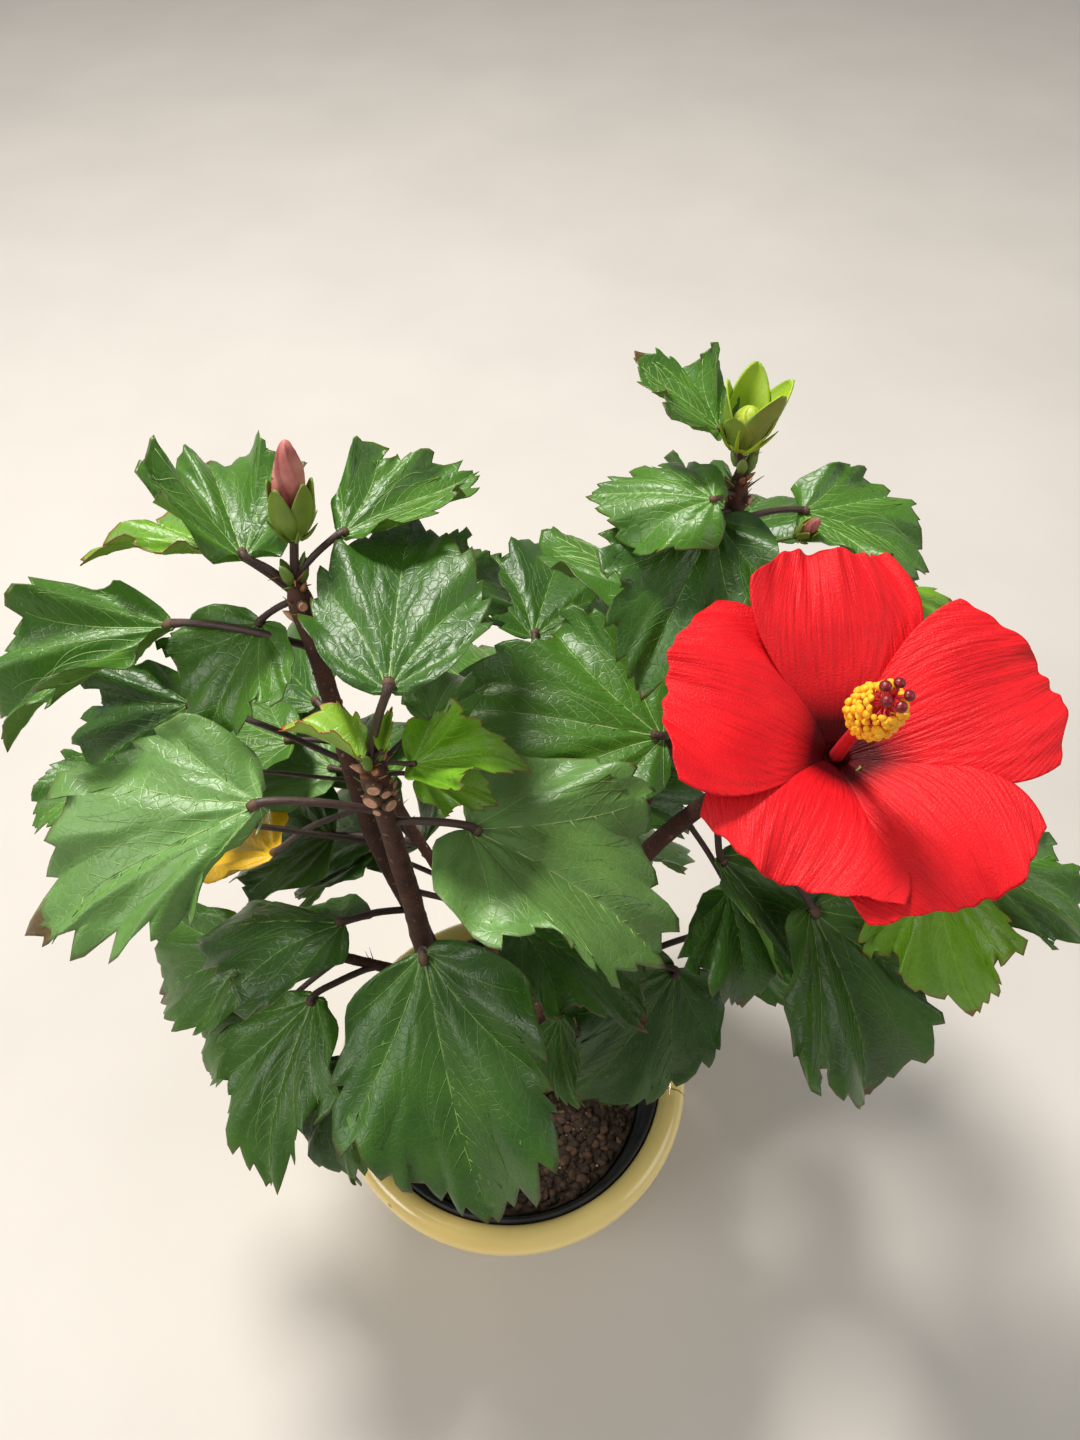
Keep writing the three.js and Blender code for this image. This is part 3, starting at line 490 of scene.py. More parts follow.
# The lights: place, size, power and colour of each, and what they point at
LIGHTS = {
    "key": ((-0.45, 0.6, 1.8), 0.35, 38, (1.0, 0.97, 0.91)),
    "fill": ((-1.35, -0.65, 1.3), 0.9, 13, (1.0, 0.98, 0.94)),
    "side": ((1.5, -0.4, 1.1), 1.1, 6, (1.0, 0.98, 0.96)),
}
LIGHT_AIM = (0.0, 0.03, 0.28)
FLOOR_REACH = 6
SKY_COLOUR = (0.99, 0.98, 0.95, 1)
SKY_STRENGTH = 0.34

# The view of the photograph
CAMERA_PLACE = (0.013, -0.195, 0.593)
CAMERA_TILT = 40
CAMERA_LENS = 27.05


class PotSettings(bpy.types.PropertyGroup):
    """The glazed pot and what stands in it."""

    glaze: FloatVectorProperty(
        name="Glaze", description="Colour of the pot's glaze", subtype="COLOR",
        default=(0.93, 0.76, 0.30), min=0, max=1,
    )
    plastic: FloatVectorProperty(
        name="Inner pot", description="Colour of the grower's pot", subtype="COLOR",
        default=(0.012, 0.013, 0.014), min=0, max=1,
    )
    chips: IntProperty(
        name="Chips", description="How many chips and crumbs lie on the compost", default=1500, min=0,
    )


class PlantSettings(bpy.types.PropertyGroup):
    """The wood and the leaves of the shrub."""

    bark: FloatVectorProperty(
        name="Bark", description="Colour of the bark", subtype="COLOR",
        default=(0.042, 0.0145, 0.008), min=0, max=1,
    )
    relief: FloatProperty(
        name="Bark relief", description="Height of the ridges of the bark", unit="LENGTH",
        default=0.45 * MM, min=0,
    )
    thickness: FloatProperty(
        name="Leaf thickness", description="Thickness of a leaf blade", unit="LENGTH",
        default=0.32 * MM, min=0.05 * MM,
    )
    ruffle: FloatProperty(
        name="Leaf ruffle", description="How far a leaf's edge waves, as a share of its length",
        default=0.038, min=0, max=0.1,
    )


class BloomSettings(bpy.types.PropertyGroup):
    """The open bloom and the buds."""

    petal: FloatVectorProperty(
        name="Petal", description="Colour of the petals", subtype="COLOR",
        default=(0.80, 0.010, 0.015), min=0, max=1,
    )
    pollen: FloatVectorProperty(
        name="Pollen", description="Colour of the anthers", subtype="COLOR",
        default=(0.95, 0.38, 0.006), min=0, max=1,
    )
    thickness: FloatProperty(
        name="Petal thickness", description="Thickness of a petal", unit="LENGTH",
        default=0.5 * MM, min=0.05 * MM,
    )


class StageSettings(bpy.types.PropertyGroup):
    """The floor under the shrub."""

    floor: FloatVectorProperty(
        name="Floor", description="Colour of the floor", subtype="COLOR",
        default=(0.62, 0.585, 0.545), min=0, max=1,
    )


# Curves and headings
class Path:
    """A smooth curve through given points, walked by its share of length."""

    SAMPLES = 200
    NUDGE = 0.004

    def __init__(self, points):
        inner = np.array(points, float)
        before = 2 * inner[0] - inner[1]
        after = 2 * inner[-1] - inner[-2]
        self.points = np.vstack([before, inner, after])
        self.times = np.linspace(0, 1, self.SAMPLES + 1)
        steps = np.linalg.norm(np.diff(self.at_time(self.times), axis=0), axis=1)
        travelled = np.concatenate([[0], np.cumsum(steps)])
        self.length = travelled[-1]
        self.shares = travelled / self.length

    def at_time(self, time):
        spans = len(self.points) - 3
        place = np.clip(time, 0, 1) * spans
        first = np.minimum(place.astype(int), spans - 1)
        w = (place - first)[:, None]
        p0, p1, p2, p3 = (self.points[first + k] for k in range(4))
        d0, d1, d2 = (
            np.sqrt(np.linalg.norm(b - a, axis=1))[:, None] for a, b in ((p0, p1), (p1, p2), (p2, p3))
        )
        m1 = ((p1 - p0) / d0 - (p2 - p0) / (d0 + d1) + (p2 - p1) / d1) * d1
        m2 = ((p2 - p1) / d1 - (p3 - p1) / (d1 + d2) + (p3 - p2) / d2) * d1
        bend = 3 * (p2 - p1) - 2 * m1 - m2
        return p1 + w * m1 + w**2 * bend + w**3 * (2 * (p1 - p2) + m1 + m2)

    def at(self, share):
        return self.at_time(np.interp(np.atleast_1d(share), self.shares, self.times))

    def along(self, share):
        """The unit heading of the curve at each share."""
        share = np.atleast_1d(share)
        ahead = self.at(np.minimum(share + self.NUDGE, 1)) - self.at(np.maximum(share - self.NUDGE, 0))
        return ahead / np.linalg.norm(ahead, axis=1)[:, None]


def unit(vector):
    vector = np.asarray(vector, float)
    return vector / np.linalg.norm(vector)


def heading(bearing, rise):
    b = math.radians(bearing)
    r = math.radians(rise)
    return np.array([math.cos(r) * math.cos(b), math.cos(r) * math.sin(b), math.sin(r)])


def blend(low, high, share):
    return low + (high - low) * share


def seeded(seed):
    """Numbers from 0 to 1 by the rule of the solids."""
    state = seed * 7919 + 13
    while True:
        state = (state * 16807) % 2147483647
        yield state / 2147483647


# Meshes
class Sketch:
    """Gathers the points, faces, finishes and marks of one joined mesh, in millimetres.

    A mark is a point's place on its own flat map, in units of 100 mm, then two masks from 0 to 1.
    """

    def __init__(self):
        self.points = []
        self.faces = []
        self.finishes = []
        self.marks = []
        self.count = 0

    def add(self, points, faces, finish=0, marks=None):
        points = np.asarray(points, float).reshape(-1, 3)
        self.points.append(points)
        base = self.count
        self.faces.extend([[base + corner for corner in face] for face in faces])
        self.finishes.extend(np.broadcast_to(finish, len(faces)).tolist())
        self.marks.append(np.zeros((len(points), 4)) if marks is None else marks)
        self.count += len(points)

    def piece(self, name, materials):
        mesh = bpy.data.meshes.new(name)
        mesh.from_pydata((np.vstack(self.points) * MM).tolist(), [], self.faces)
        marks = np.vstack(self.marks)
        corners = np.zeros(len(mesh.loops), int)
        mesh.loops.foreach_get("vertex_index", corners)
        mesh.uv_layers.new(name="Map").data.foreach_set("uv", marks[corners, :2].ravel())
        for index, mask in ((2, "vein"), (3, "rim")):
            layer = mesh.attributes.new(mask, "FLOAT", "POINT")
            layer.data.foreach_set("value", marks[:, index].astype(np.float32))
        mesh.polygons.foreach_set("material_index", self.finishes)
        mesh.polygons.foreach_set("use_smooth", [True] * len(mesh.polygons))
        for material in materials:
            mesh.materials.append(material)
        mesh.update()
        return new_object(name, mesh)


def new_object(name, data):
    made = bpy.data.objects.new(name, data)
    bpy.context.scene.collection.objects.link(made)
    return made


def settle(piece, slot, *nodes):
    """Rides a finished piece on the shrub's body and lets it stand for its nodes."""
    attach(piece, "root")
    if nodes:
        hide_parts(*nodes)


def ring_faces(rings, sides):
    """The walls between rings of points that follow each other."""
    i, k = np.meshgrid(np.arange(rings - 1), np.arange(sides), indexing="ij")
    a = i * sides + k
    b = i * sides + (k + 1) % sides
    return np.stack([a, b, b + sides, a + sides], axis=-1).reshape(-1, 4)


def closed_rings(rings, sides):
    """The walls between rings and the fans that close both ends, round two hubs after the rings."""
    k = np.arange(sides)
    after = (k + 1) % sides
    hub = rings * sides
    last = hub - sides
    low = np.stack([np.full(sides, hub), after, k], axis=1)
    high = np.stack([np.full(sides, hub + 1), last + k, last + after], axis=1)
    return [*ring_faces(rings, sides).tolist(), *low.tolist(), *high.tolist()]


def grid_quads(rows, columns):
    """The squares between the points of a grid."""
    i, j = np.meshgrid(np.arange(rows - 1), np.arange(columns - 1), indexing="ij")
    a = (i * columns + j).ravel()
    return np.stack([a, a + columns, a + columns + 1, a + 1], axis=1)


def frame_about(along):
    """Two headings square to a line and to each other."""
    side = unit(np.cross(along, TURNED_ASIDE))
    return side, np.cross(along, side)


def round_about(turns, side, up):
    """The outward headings at an array of turns about a line."""
    return np.multiply.outer(np.cos(turns), side) + np.multiply.outer(np.sin(turns), up)


def out_at(turn, side, up):
    """The outward heading at one turn about a line."""
    return side * math.cos(turn) + up * math.sin(turn)


def add_tube(sketch, centres, radii, sides, finish=0):
    """A round tube through centres, closed at both ends. Its map runs round it and along it."""
    centres = np.asarray(centres, float)
    radii = np.broadcast_to(radii, len(centres))
    ahead = np.gradient(centres, axis=0)
    ahead = ahead / np.linalg.norm(ahead, axis=1)[:, None]
    side = np.cross(ahead[0], TUBE_ASIDE)
    turns = np.linspace(0, 2 * math.pi, sides, endpoint=False)
    travelled = np.concatenate([[0], np.cumsum(np.linalg.norm(np.diff(centres, axis=0), axis=1))])
    points = []
    marks = []
    for centre, radius, forward, run in zip(centres, radii, ahead, travelled):
        side = unit(side - forward * np.dot(side, forward))
        points.append(centre + radius * round_about(turns, side, np.cross(forward, side)))
        flat = [turns * radius / MAP_UNIT, np.full(sides, run / MAP_UNIT)]
        marks.append(np.column_stack([*flat, 0 * turns, 0 * turns]))
    low = centres[0] - ahead[0] * radii[0] * TUBE_DOME
    high = centres[-1] + ahead[-1] * radii[-1] * TUBE_DOME
    marks.append(np.zeros((2, 4)))
    sketch.add(np.vstack([*points, low, high]), closed_rings(len(centres), sides), finish, np.vstack(marks))


def add_turned(sketch, profile, foot, along, sides, finish=0):
    """A solid turned about a line. Its profile of radius and height starts and ends on the line."""
    along = unit(along)
    side, up = frame_about(along)
    foot = np.asarray(foot, float)
    turns = np.linspace(0, 2 * math.pi, sides, endpoint=False)
    outward = round_about(turns, side, up)
    rings = [foot + along * height + radius * outward for radius, height in profile[1:-1]]
    hubs = [foot + along * profile[0][1], foot + along * profile[-1][1]]
    sketch.add(np.vstack(rings + hubs), closed_rings(len(rings), sides), finish)


def add_sheet(sketch, points, normals, thickness, finishes, marks):
    """A thin closed sheet over a grid of points, with finishes for its top, underside and edge."""
    rows, columns = points.shape[:2]
    top = (points + normals * thickness / 2).reshape(-1, 3)
    low = (points - normals * thickness / 2).reshape(-1, 3)
    quads = grid_quads(rows, columns)
    under = rows * columns
    rim = np.concatenate([
        np.arange(columns - 1),
        np.arange(rows - 1) * columns + columns - 1,
        (rows - 1) * columns + np.arange(columns - 1, 0, -1),
        np.arange(rows - 1, 0, -1) * columns,
    ])
    after = np.roll(rim, -1)
    edge = np.stack([rim, after, after + under, rim + under], axis=1)
    faces = np.vstack([quads, quads[:, ::-1] + under, edge])
    kinds = np.repeat(finishes, [len(quads), len(quads), len(edge)])
    sketch.add(np.vstack([top, low]), faces, kinds, np.vstack([marks, marks]))


# Leaves
class LeafPattern:
    """The toothed outline, relief and veins of a leaf laid flat, in shares of its length."""

    TOOTH_WIDTHS = (0.5, 1.5)
    TOOTH_HEIGHTS = (0.45, 1.4)
    TOOTH_RISE = 0.62
    TOOTH_FADE = 0.12
    TOOTH_LEAN = 0.5
    MAIN_POINTS = 15
    MAIN_WOBBLE = 0.008
    MAIN_REACH = 0.97
    MAIN_TAPER = 0.75
    BRANCH_STEP = 0.02
    BRANCH_GAP = 0.1
    BRANCH_STAGGER = 0.22
    BRANCH_SCATTER = 0.12
    BRANCH_START = 0.12
    BRANCH_END = 0.94
    BRANCH_LEAN = (42, 54)
    BRANCH_BEND = 0.05
    BRANCH_SIZE = 0.48
    BRANCH_TAPER = 0.8
    BRANCH_POINTS = 24
    BRANCH_REACH = 0.95
    BRANCH_CLEAR = 0.035
    PANEL_HEIGHT = 0.013
    PANEL_REACH = 0.03
    GROOVE_DEPTH = 0.026
    GROOVE_REACH = 0.06

    def __init__(self, left, right, seed):
        self.random = np.random.default_rng(seed)
        left = self.half_margin(MARGINS[left])
        right = self.half_margin(MARGINS[right])
        mirror = np.array([1, -1])
        self.smooth = np.vstack([left[0], (right[0] * mirror)[-2::-1]])
        toothed = np.vstack([left[1], (right[1] * mirror)[-2::-1]])
        self.share = np.concatenate([left[2], -right[2][-2::-1]])
        self.turns = np.arctan2(self.smooth[:, 1], self.smooth[:, 0])
        self.reach = np.linalg.norm(self.smooth, axis=1)
        rings = np.array(RINGS)[:, None, None]
        self.grid = rings * (self.smooth + rings**8 * (toothed - self.smooth))
        self.edge = np.broadcast_to(rings[:, :, 0], self.grid.shape[:2])
        self.side = np.broadcast_to(self.share, self.grid.shape[:2])
        self.veins = self.main_veins()
        self.branch_veins()
        self.relief, self.near_vein = self.relief_at(self.grid)

    def half_margin(self, outline):
        """The smooth and the toothed margin of one half, with the share along it."""
        margin = Path([(x, y, 0) for x, y in outline])
        widths = self.random.uniform(*self.TOOTH_WIDTHS, TEETH_COUNT)
        ends = TEETH_FROM + (1 - TEETH_FROM) * np.concatenate([[0], np.cumsum(widths) / widths.sum()])
        shares = list(np.linspace(0, TEETH_FROM, PLAIN_STEPS, endpoint=False))
        heights = [0] * PLAIN_STEPS
        for start, end in zip(ends[:-1], ends[1:]):
            tall = self.random.uniform(*self.TOOTH_HEIGHTS) * (end - start) * self.TOOTH_RISE
            tall = tall * min(1, (1 - start) / self.TOOTH_FADE)
            for place, height in TOOTH_SHAPE:
                shares.append(start + (end - start) * place)
                heights.append(height * tall)
        shares = np.array(shares + [1])
        heights = np.array(heights + [0])[:, None]
        smooth = margin.at(shares)[:, :2]
        ahead = margin.along(shares)[:, :2]
        out = np.stack([-ahead[:, 1], ahead[:, 0]], axis=1)
        toothed = smooth + heights * (out + self.TOOTH_LEAN * ahead)
        return smooth, toothed, shares

    def main_veins(self):
        veins = []
        for end, towards, width in MAIN_VEINS:
            t = np.linspace(0, 1, self.MAIN_POINTS)[:, None]
            towards = np.array(towards) + self.random.normal(0, self.MAIN_WOBBLE, 2)
            reach = np.interp(-math.atan2(end[1], end[0]), -self.turns, self.reach)
            end = np.array(end) * min(1, self.MAIN_REACH * reach / math.hypot(*end))
            line = 2 * t * (1 - t) * towards + t**2 * end
            veins.append((line, width * (1 - self.MAIN_TAPER * t[:, 0])))
        return veins

    def branch_veins(self):
        """Branches leave the main veins in turn to either side and run on towards the margin."""
        mains = list(self.veins)
        for index, (line, widths) in enumerate(mains[:BRANCHING_VEINS]):
            lengths = np.linalg.norm(np.diff(line, axis=0), axis=1)
            travelled = np.concatenate([[0], np.cumsum(lengths)])
            others = np.vstack([main[0][2:] for k, main in enumerate(mains) if k != index])
            count = int(round(travelled[-1] / self.BRANCH_GAP))
            for k in range(1, count + 1):
                for hand in (-1, 1):
                    spot = k + self.BRANCH_STAGGER * hand
                    spot = spot + self.random.uniform(-self.BRANCH_SCATTER, self.BRANCH_SCATTER)
                    away = travelled[-1] * spot / (count + 0.7)
                    if not self.BRANCH_START < away < travelled[-1] * self.BRANCH_END:
                        continue
                    start = np.array([np.interp(away, travelled, line[:, c]) for c in (0, 1)])
                    i = min(np.searchsorted(travelled, away), len(line) - 1)
                    forward = line[i] - line[i - 1]
                    lean = hand * math.radians(self.random.uniform(*self.BRANCH_LEAN))
                    turn = math.atan2(forward[1], forward[0]) + lean
                    branch = self.grow(start, turn, -hand * self.BRANCH_BEND, others)
                    if len(branch) > 2:
                        branch = branch[:: 2 - len(branch) % 2]
                        taper = 1 - self.BRANCH_TAPER * np.linspace(0, 1, len(branch))
                        self.veins.append((branch, self.BRANCH_SIZE * widths[0] * taper))

    def grow(self, start, turn, bend, others):
        points = [start]
        point = start
        while len(points) < self.BRANCH_POINTS:
            turn += bend
            point = point + self.BRANCH_STEP * np.array([math.cos(turn), math.sin(turn)])
            reach = np.interp(-math.atan2(point[1], point[0]), -self.turns, self.reach)
            near = np.linalg.norm(others - point, axis=1).min()
            if np.linalg.norm(point) > self.BRANCH_REACH * reach or near < self.BRANCH_CLEAR:
                break
            points.append(point)
        return np.array(points)

    def relief_at(self, flat):
        """Panels bulge between sunken veins."""
        flat = flat.reshape(-1, 2)
        all_veins = np.vstack([line for line, _ in self.veins])
        main = np.vstack([line for line, _ in self.veins[: len(MAIN_VEINS)]])
        near = np.sqrt(((flat[:, None] - all_veins) ** 2).sum(-1)).min(1)
        near_main = np.sqrt(((flat[:, None] - main) ** 2).sum(-1)).min(1)
        panels = self.PANEL_HEIGHT * (1 - np.exp(-((near / self.PANEL_REACH) ** 2)))
        grooves = self.GROOVE_DEPTH * np.exp(-((near_main / self.GROOVE_REACH) ** 2))
        return panels - grooves, np.exp(-((near_main / self.PANEL_REACH) ** 2))

    def on_grid(self, flat, values):
        """The value at a flat point of a surface that has values on the grid and none at the stalk."""
        turns = -np.arctan2(flat[:, 1], flat[:, 0])
        out = np.linalg.norm(flat, axis=1) / np.interp(turns, -self.turns, self.reach)
        row = np.interp(out, [0, *RINGS], np.arange(len(RINGS) + 1))
        column = np.interp(turns, -self.turns, np.arange(len(self.turns)))
        values = np.vstack([np.zeros(values.shape[1]), values])
        i = np.minimum(row.astype(int), len(values) - 2)
        j = np.minimum(column.astype(int), len(self.turns) - 2)
        low = blend(values[i, j], values[i, j + 1], column - j)
        high = blend(values[i + 1, j], values[i + 1, j + 1], column - j)
        return blend(low, high, row - i)


class LeafShape:
    """How one leaf waves, rolls and droops away from its plain arch and fold."""

    HEIGHTS = (0.8, 1.25)
    FOLDS = (-6, 6)
    WAVES = (2.0, 3.6)
    FINE_WAVES = (5, 8)
    FINE_HEIGHT = 0.3
    ROLLS = (-0.02, 0.015)
    LOBES = (0.4, 1.4)
    LOBE_SHIFTS = (-0.02, 0.02)
    LOBE_PLACE = 0.5
    LOBE_WIDTH = 0.14
    TIPS = (0.7, 1.3)
    TIP_FROM = 0.6
    TIP_SPAN = 0.4
    TWISTS = (-0.08, 0.08)
    HOOKS = (-0.05, 0.05)
    SMALL_LEAF = 50

    def __init__(self, curl, random, ruffle):
        self.curl = CURLS[curl]
        self.height = ruffle * self.curl["wave"] * random.uniform(*self.HEIGHTS)
        self.folds = np.radians(random.uniform(*self.FOLDS, 2) + self.curl["fold"])
        self.waves = random.uniform(*self.WAVES, 2)
        self.phases = random.uniform(0, 2 * math.pi, 2)
        self.fine = random.uniform(*self.FINE_WAVES)
        self.roll = self.curl["roll"] + random.uniform(*self.ROLLS)
        self.lobes = self.curl["lobe"] * random.uniform(*self.LOBES, 2)
        self.lobes = self.lobes + random.uniform(*self.LOBE_SHIFTS, 2)
        self.tip = self.curl["tip"] * random.uniform(*self.TIPS)
        self.twist = random.uniform(*self.TWISTS)
        self.hook = random.uniform(*self.HOOKS)

    def bend(self, flat):
        """Turns the tip a little to one side."""
        bent = flat.copy()
        bent[..., 1] += self.hook * self.tip_share(flat) ** 2
        return bent

    def tip_share(self, flat):
        """0 up to where the tip starts, and 1 at its end."""
        return np.maximum(0, (flat[..., 0] - self.TIP_FROM) / self.TIP_SPAN)

    def lift(self, pattern, length):
        """The height over the plain blade of each point of the pattern's grid."""
        along = np.abs(pattern.side)
        edge = pattern.edge
        hand = (pattern.side < 0).astype(int)
        fade = np.minimum(1, along / 0.2) * (1 - along**8)
        wave = np.sin(2 * math.pi * self.waves[hand] * along + self.phases[hand])
        fine = self.FINE_HEIGHT * np.sin(2 * math.pi * self.fine * along + 2 * self.phases[hand])
        rise = self.height * fade * (edge**2.4 * wave + edge**4 * fine)
        rise = rise + self.roll * edge**4
        lobe = np.exp(-(((along - self.LOBE_PLACE) / self.LOBE_WIDTH) ** 2))
        rise = rise + self.lobes[hand] * lobe * edge**2
        rise = rise + self.tip * self.tip_share(pattern.grid) ** 2
        rise = rise + self.twist * pattern.grid[..., 0] * pattern.grid[..., 1]
        return rise + pattern.relief.reshape(rise.shape) * min(1, length / self.SMALL_LEAF)


def blade_frame(base, length, bearing, rise, roll, arch, fold, wide, folds):
    """Places a leaf's flat points and heights, with the arch and fold of the solids."""
    chord = heading(bearing, rise)
    flat = heading(bearing + 90, 0)
    up = np.cross(chord, flat)
    turn = math.radians(roll)
    side = flat * math.cos(turn) + up * math.sin(turn)
    normal = np.cross(chord, side)
    bend = math.radians(arch)
    left = math.radians(fold) + folds[0]
    right = math.radians(fold) + folds[1]

    def place(points, lift):
        x = points[..., 0]
        y = points[..., 1]
        crease = blend(right, left, np.clip(0.5 + CREASE_TURN * y, 0, 1))
        hump = bend / 2 * x * (1 - x)
        slope = bend / 2 * (1 - 2 * x)
        open_ = np.sqrt(y**2 + CREASE_SQUARE) - CREASE_ROOT
        height = hump + wide * open_ * np.sin(crease) + lift
        placed = base + length * (
            np.multiply.outer(x, chord)
            + np.multiply.outer(wide * y * np.cos(crease), side)
            + np.multiply.outer(height, normal)
        )
        ahead = np.multiply.outer(np.cos(slope), chord) + np.multiply.outer(np.sin(slope), normal)
        return placed, np.cross(ahead, side)

    return place


def add_blade(sketch, pattern, shape, place, lift, length, thickness, finish, shift, burnt):
    """One leaf blade: a closed thin sheet with its own top, underside and edge."""
    points, normals = place(shape.bend(pattern.grid), lift)
    rings, count = lift.shape
    flat_map = pattern.grid.reshape(-1, 2) * length / MAP_UNIT + shift
    tip = np.clip((pattern.grid[..., 0].ravel() - 1 + burnt) / BURNT_FADE, 0, 1)
    rim_mask = np.maximum(pattern.edge.ravel() ** EDGE_POWER, 2 * tip)
    marks = np.column_stack([flat_map, pattern.near_vein, rim_mask])
    foot, foot_normal = place(np.zeros((1, 2)), np.array([0.0]))
    half = thickness / 2
    top = np.vstack([points.reshape(-1, 3) + normals.reshape(-1, 3) * half, foot + foot_normal * half])
    low = np.vstack([points.reshape(-1, 3) - normals.reshape(-1, 3) * half, foot - foot_normal * half])
    marks = np.vstack([marks, [*shift, 1, 0]])
    hub = rings * count
    quads = grid_quads(rings, count)[:, [0, 3, 2, 1]]
    outer = np.arange(count - 1) + hub - count
    starts = np.concatenate([[hub], np.arange(rings) * count])
    ends = np.concatenate([[hub], np.arange(rings) * count + count - 1])
    rim = np.concatenate([starts, outer[1:], ends[:0:-1]])
    after = np.roll(rim, -1)
    edge = np.stack([rim, after, after + hub + 1, rim + hub + 1], axis=1)
    j = np.arange(count - 1)
    fan = np.stack([np.full(count - 1, hub), j + 1, j], axis=1)
    faces = [*quads.tolist(), *fan.tolist(), *(quads[:, ::-1] + hub + 1).tolist()]
    faces += [*(fan[:, ::-1] + hub + 1).tolist(), *edge.tolist()]
    tops = len(quads) + len(fan)
    kinds = [finish] * tops + [finish + 1] * tops + [finish] * len(edge)
    sketch.add(np.vstack([top, low]), faces, kinds, np.vstack([marks, marks]))


def add_veins(sketch, pattern, shape, place, lift, length, tones):
    """Slim four-sided veins that just stand out of the blade on both sides."""
    for index, (line, widths) in enumerate(pattern.veins):
        centres, normals = place(shape.bend(line), pattern.on_grid(line, lift))
        ahead = np.gradient(centres, axis=0)
        across = np.cross(normals, ahead)
        across = across / np.linalg.norm(across, axis=1)[:, None]
        sizes = widths[:, None] * min(VEIN_MOST, (length / FULL_LEAF) ** 0.5)
        half = sizes * VEIN_HALF_WIDTH
        rings = np.stack([
            centres + across * half,
            centres + normals * (VEIN_PROUD[0] + VEIN_PROUD[1] * sizes + VEIN_PROUD[2] * length),
            centres - across * half,
            centres - normals * (VEIN_UNDER[0] + VEIN_UNDER[1] * sizes),
        ], axis=1)
        count = len(line)
        last = (count - 1) * 4
        ends = [[3, 2, 1, 0], [last, last + 1, last + 2, last + 3]]
        finish = tones[index >= len(MAIN_VEINS)]
        sketch.add(rings.reshape(-1, 3), np.vstack([ring_faces(count, 4), ends]), finish)


def fan_rows(name):
    """The rows of a hidden mass, by the rule of the solids."""
    spec = FANS[name]
    numbers = seeded(spec["seed"])
    rows = []
    for i in range(spec["count"]):
        share = i / (spec["count"] - 1)
        turn = spec["bearing"] + spec["spread"] * ((i * GOLDEN_SHARE) % 1)
        rows.append((
            blend(*FAN_CLIMB["up"], share),
            spec["stalk"] * blend(*FAN_RANGE["stalk"], next(numbers)),
            turn,
            blend(*FAN_CLIMB["rise"], share) + FAN_RANGE["rise"] * (next(numbers) - 0.5),
            spec["length"] * blend(*FAN_RANGE["length"], next(numbers)),
            turn + FAN_RANGE["ahead"] * (next(numbers) - 0.5),
            blend(*FAN_CLIMB["dip"], share) + FAN_RANGE["dip"] * (next(numbers) - 0.5),
            FAN_RANGE["roll"] * (next(numbers) - 0.5),
            FAN_ARCH,
            FAN_FOLD,
            blend(*FAN_RANGE["wide"], next(numbers)),
            FAN_FINISHES[i % len(FAN_FINISHES)],
            FAN_OUTLINES[i % len(FAN_OUTLINES)],
            FAN_CURLS[i % len(FAN_CURLS)],
        ))
    return rows


def stalk_path(curve, stem_from, row):
    """The route of a leaf's stalk, and the point where its blade starts."""
    up, stalk, bearing, rise, length, ahead, dip = row[:7]
    foot = curve.at(stem_from + (1 - stem_from) * up)[0]
    base = foot + heading(bearing, rise) * stalk
    hump = blend(foot, base, STALK_BEND) + np.array([0, 0, stalk * STALK_HUMP])
    sunk = base + heading(ahead, dip) * length * STALK_SUNK
    return Path([foot, hump, base, sunk]), base


# Materials
MIX_A = 6
MIX_B = 7
MIX_COLOUR = 2


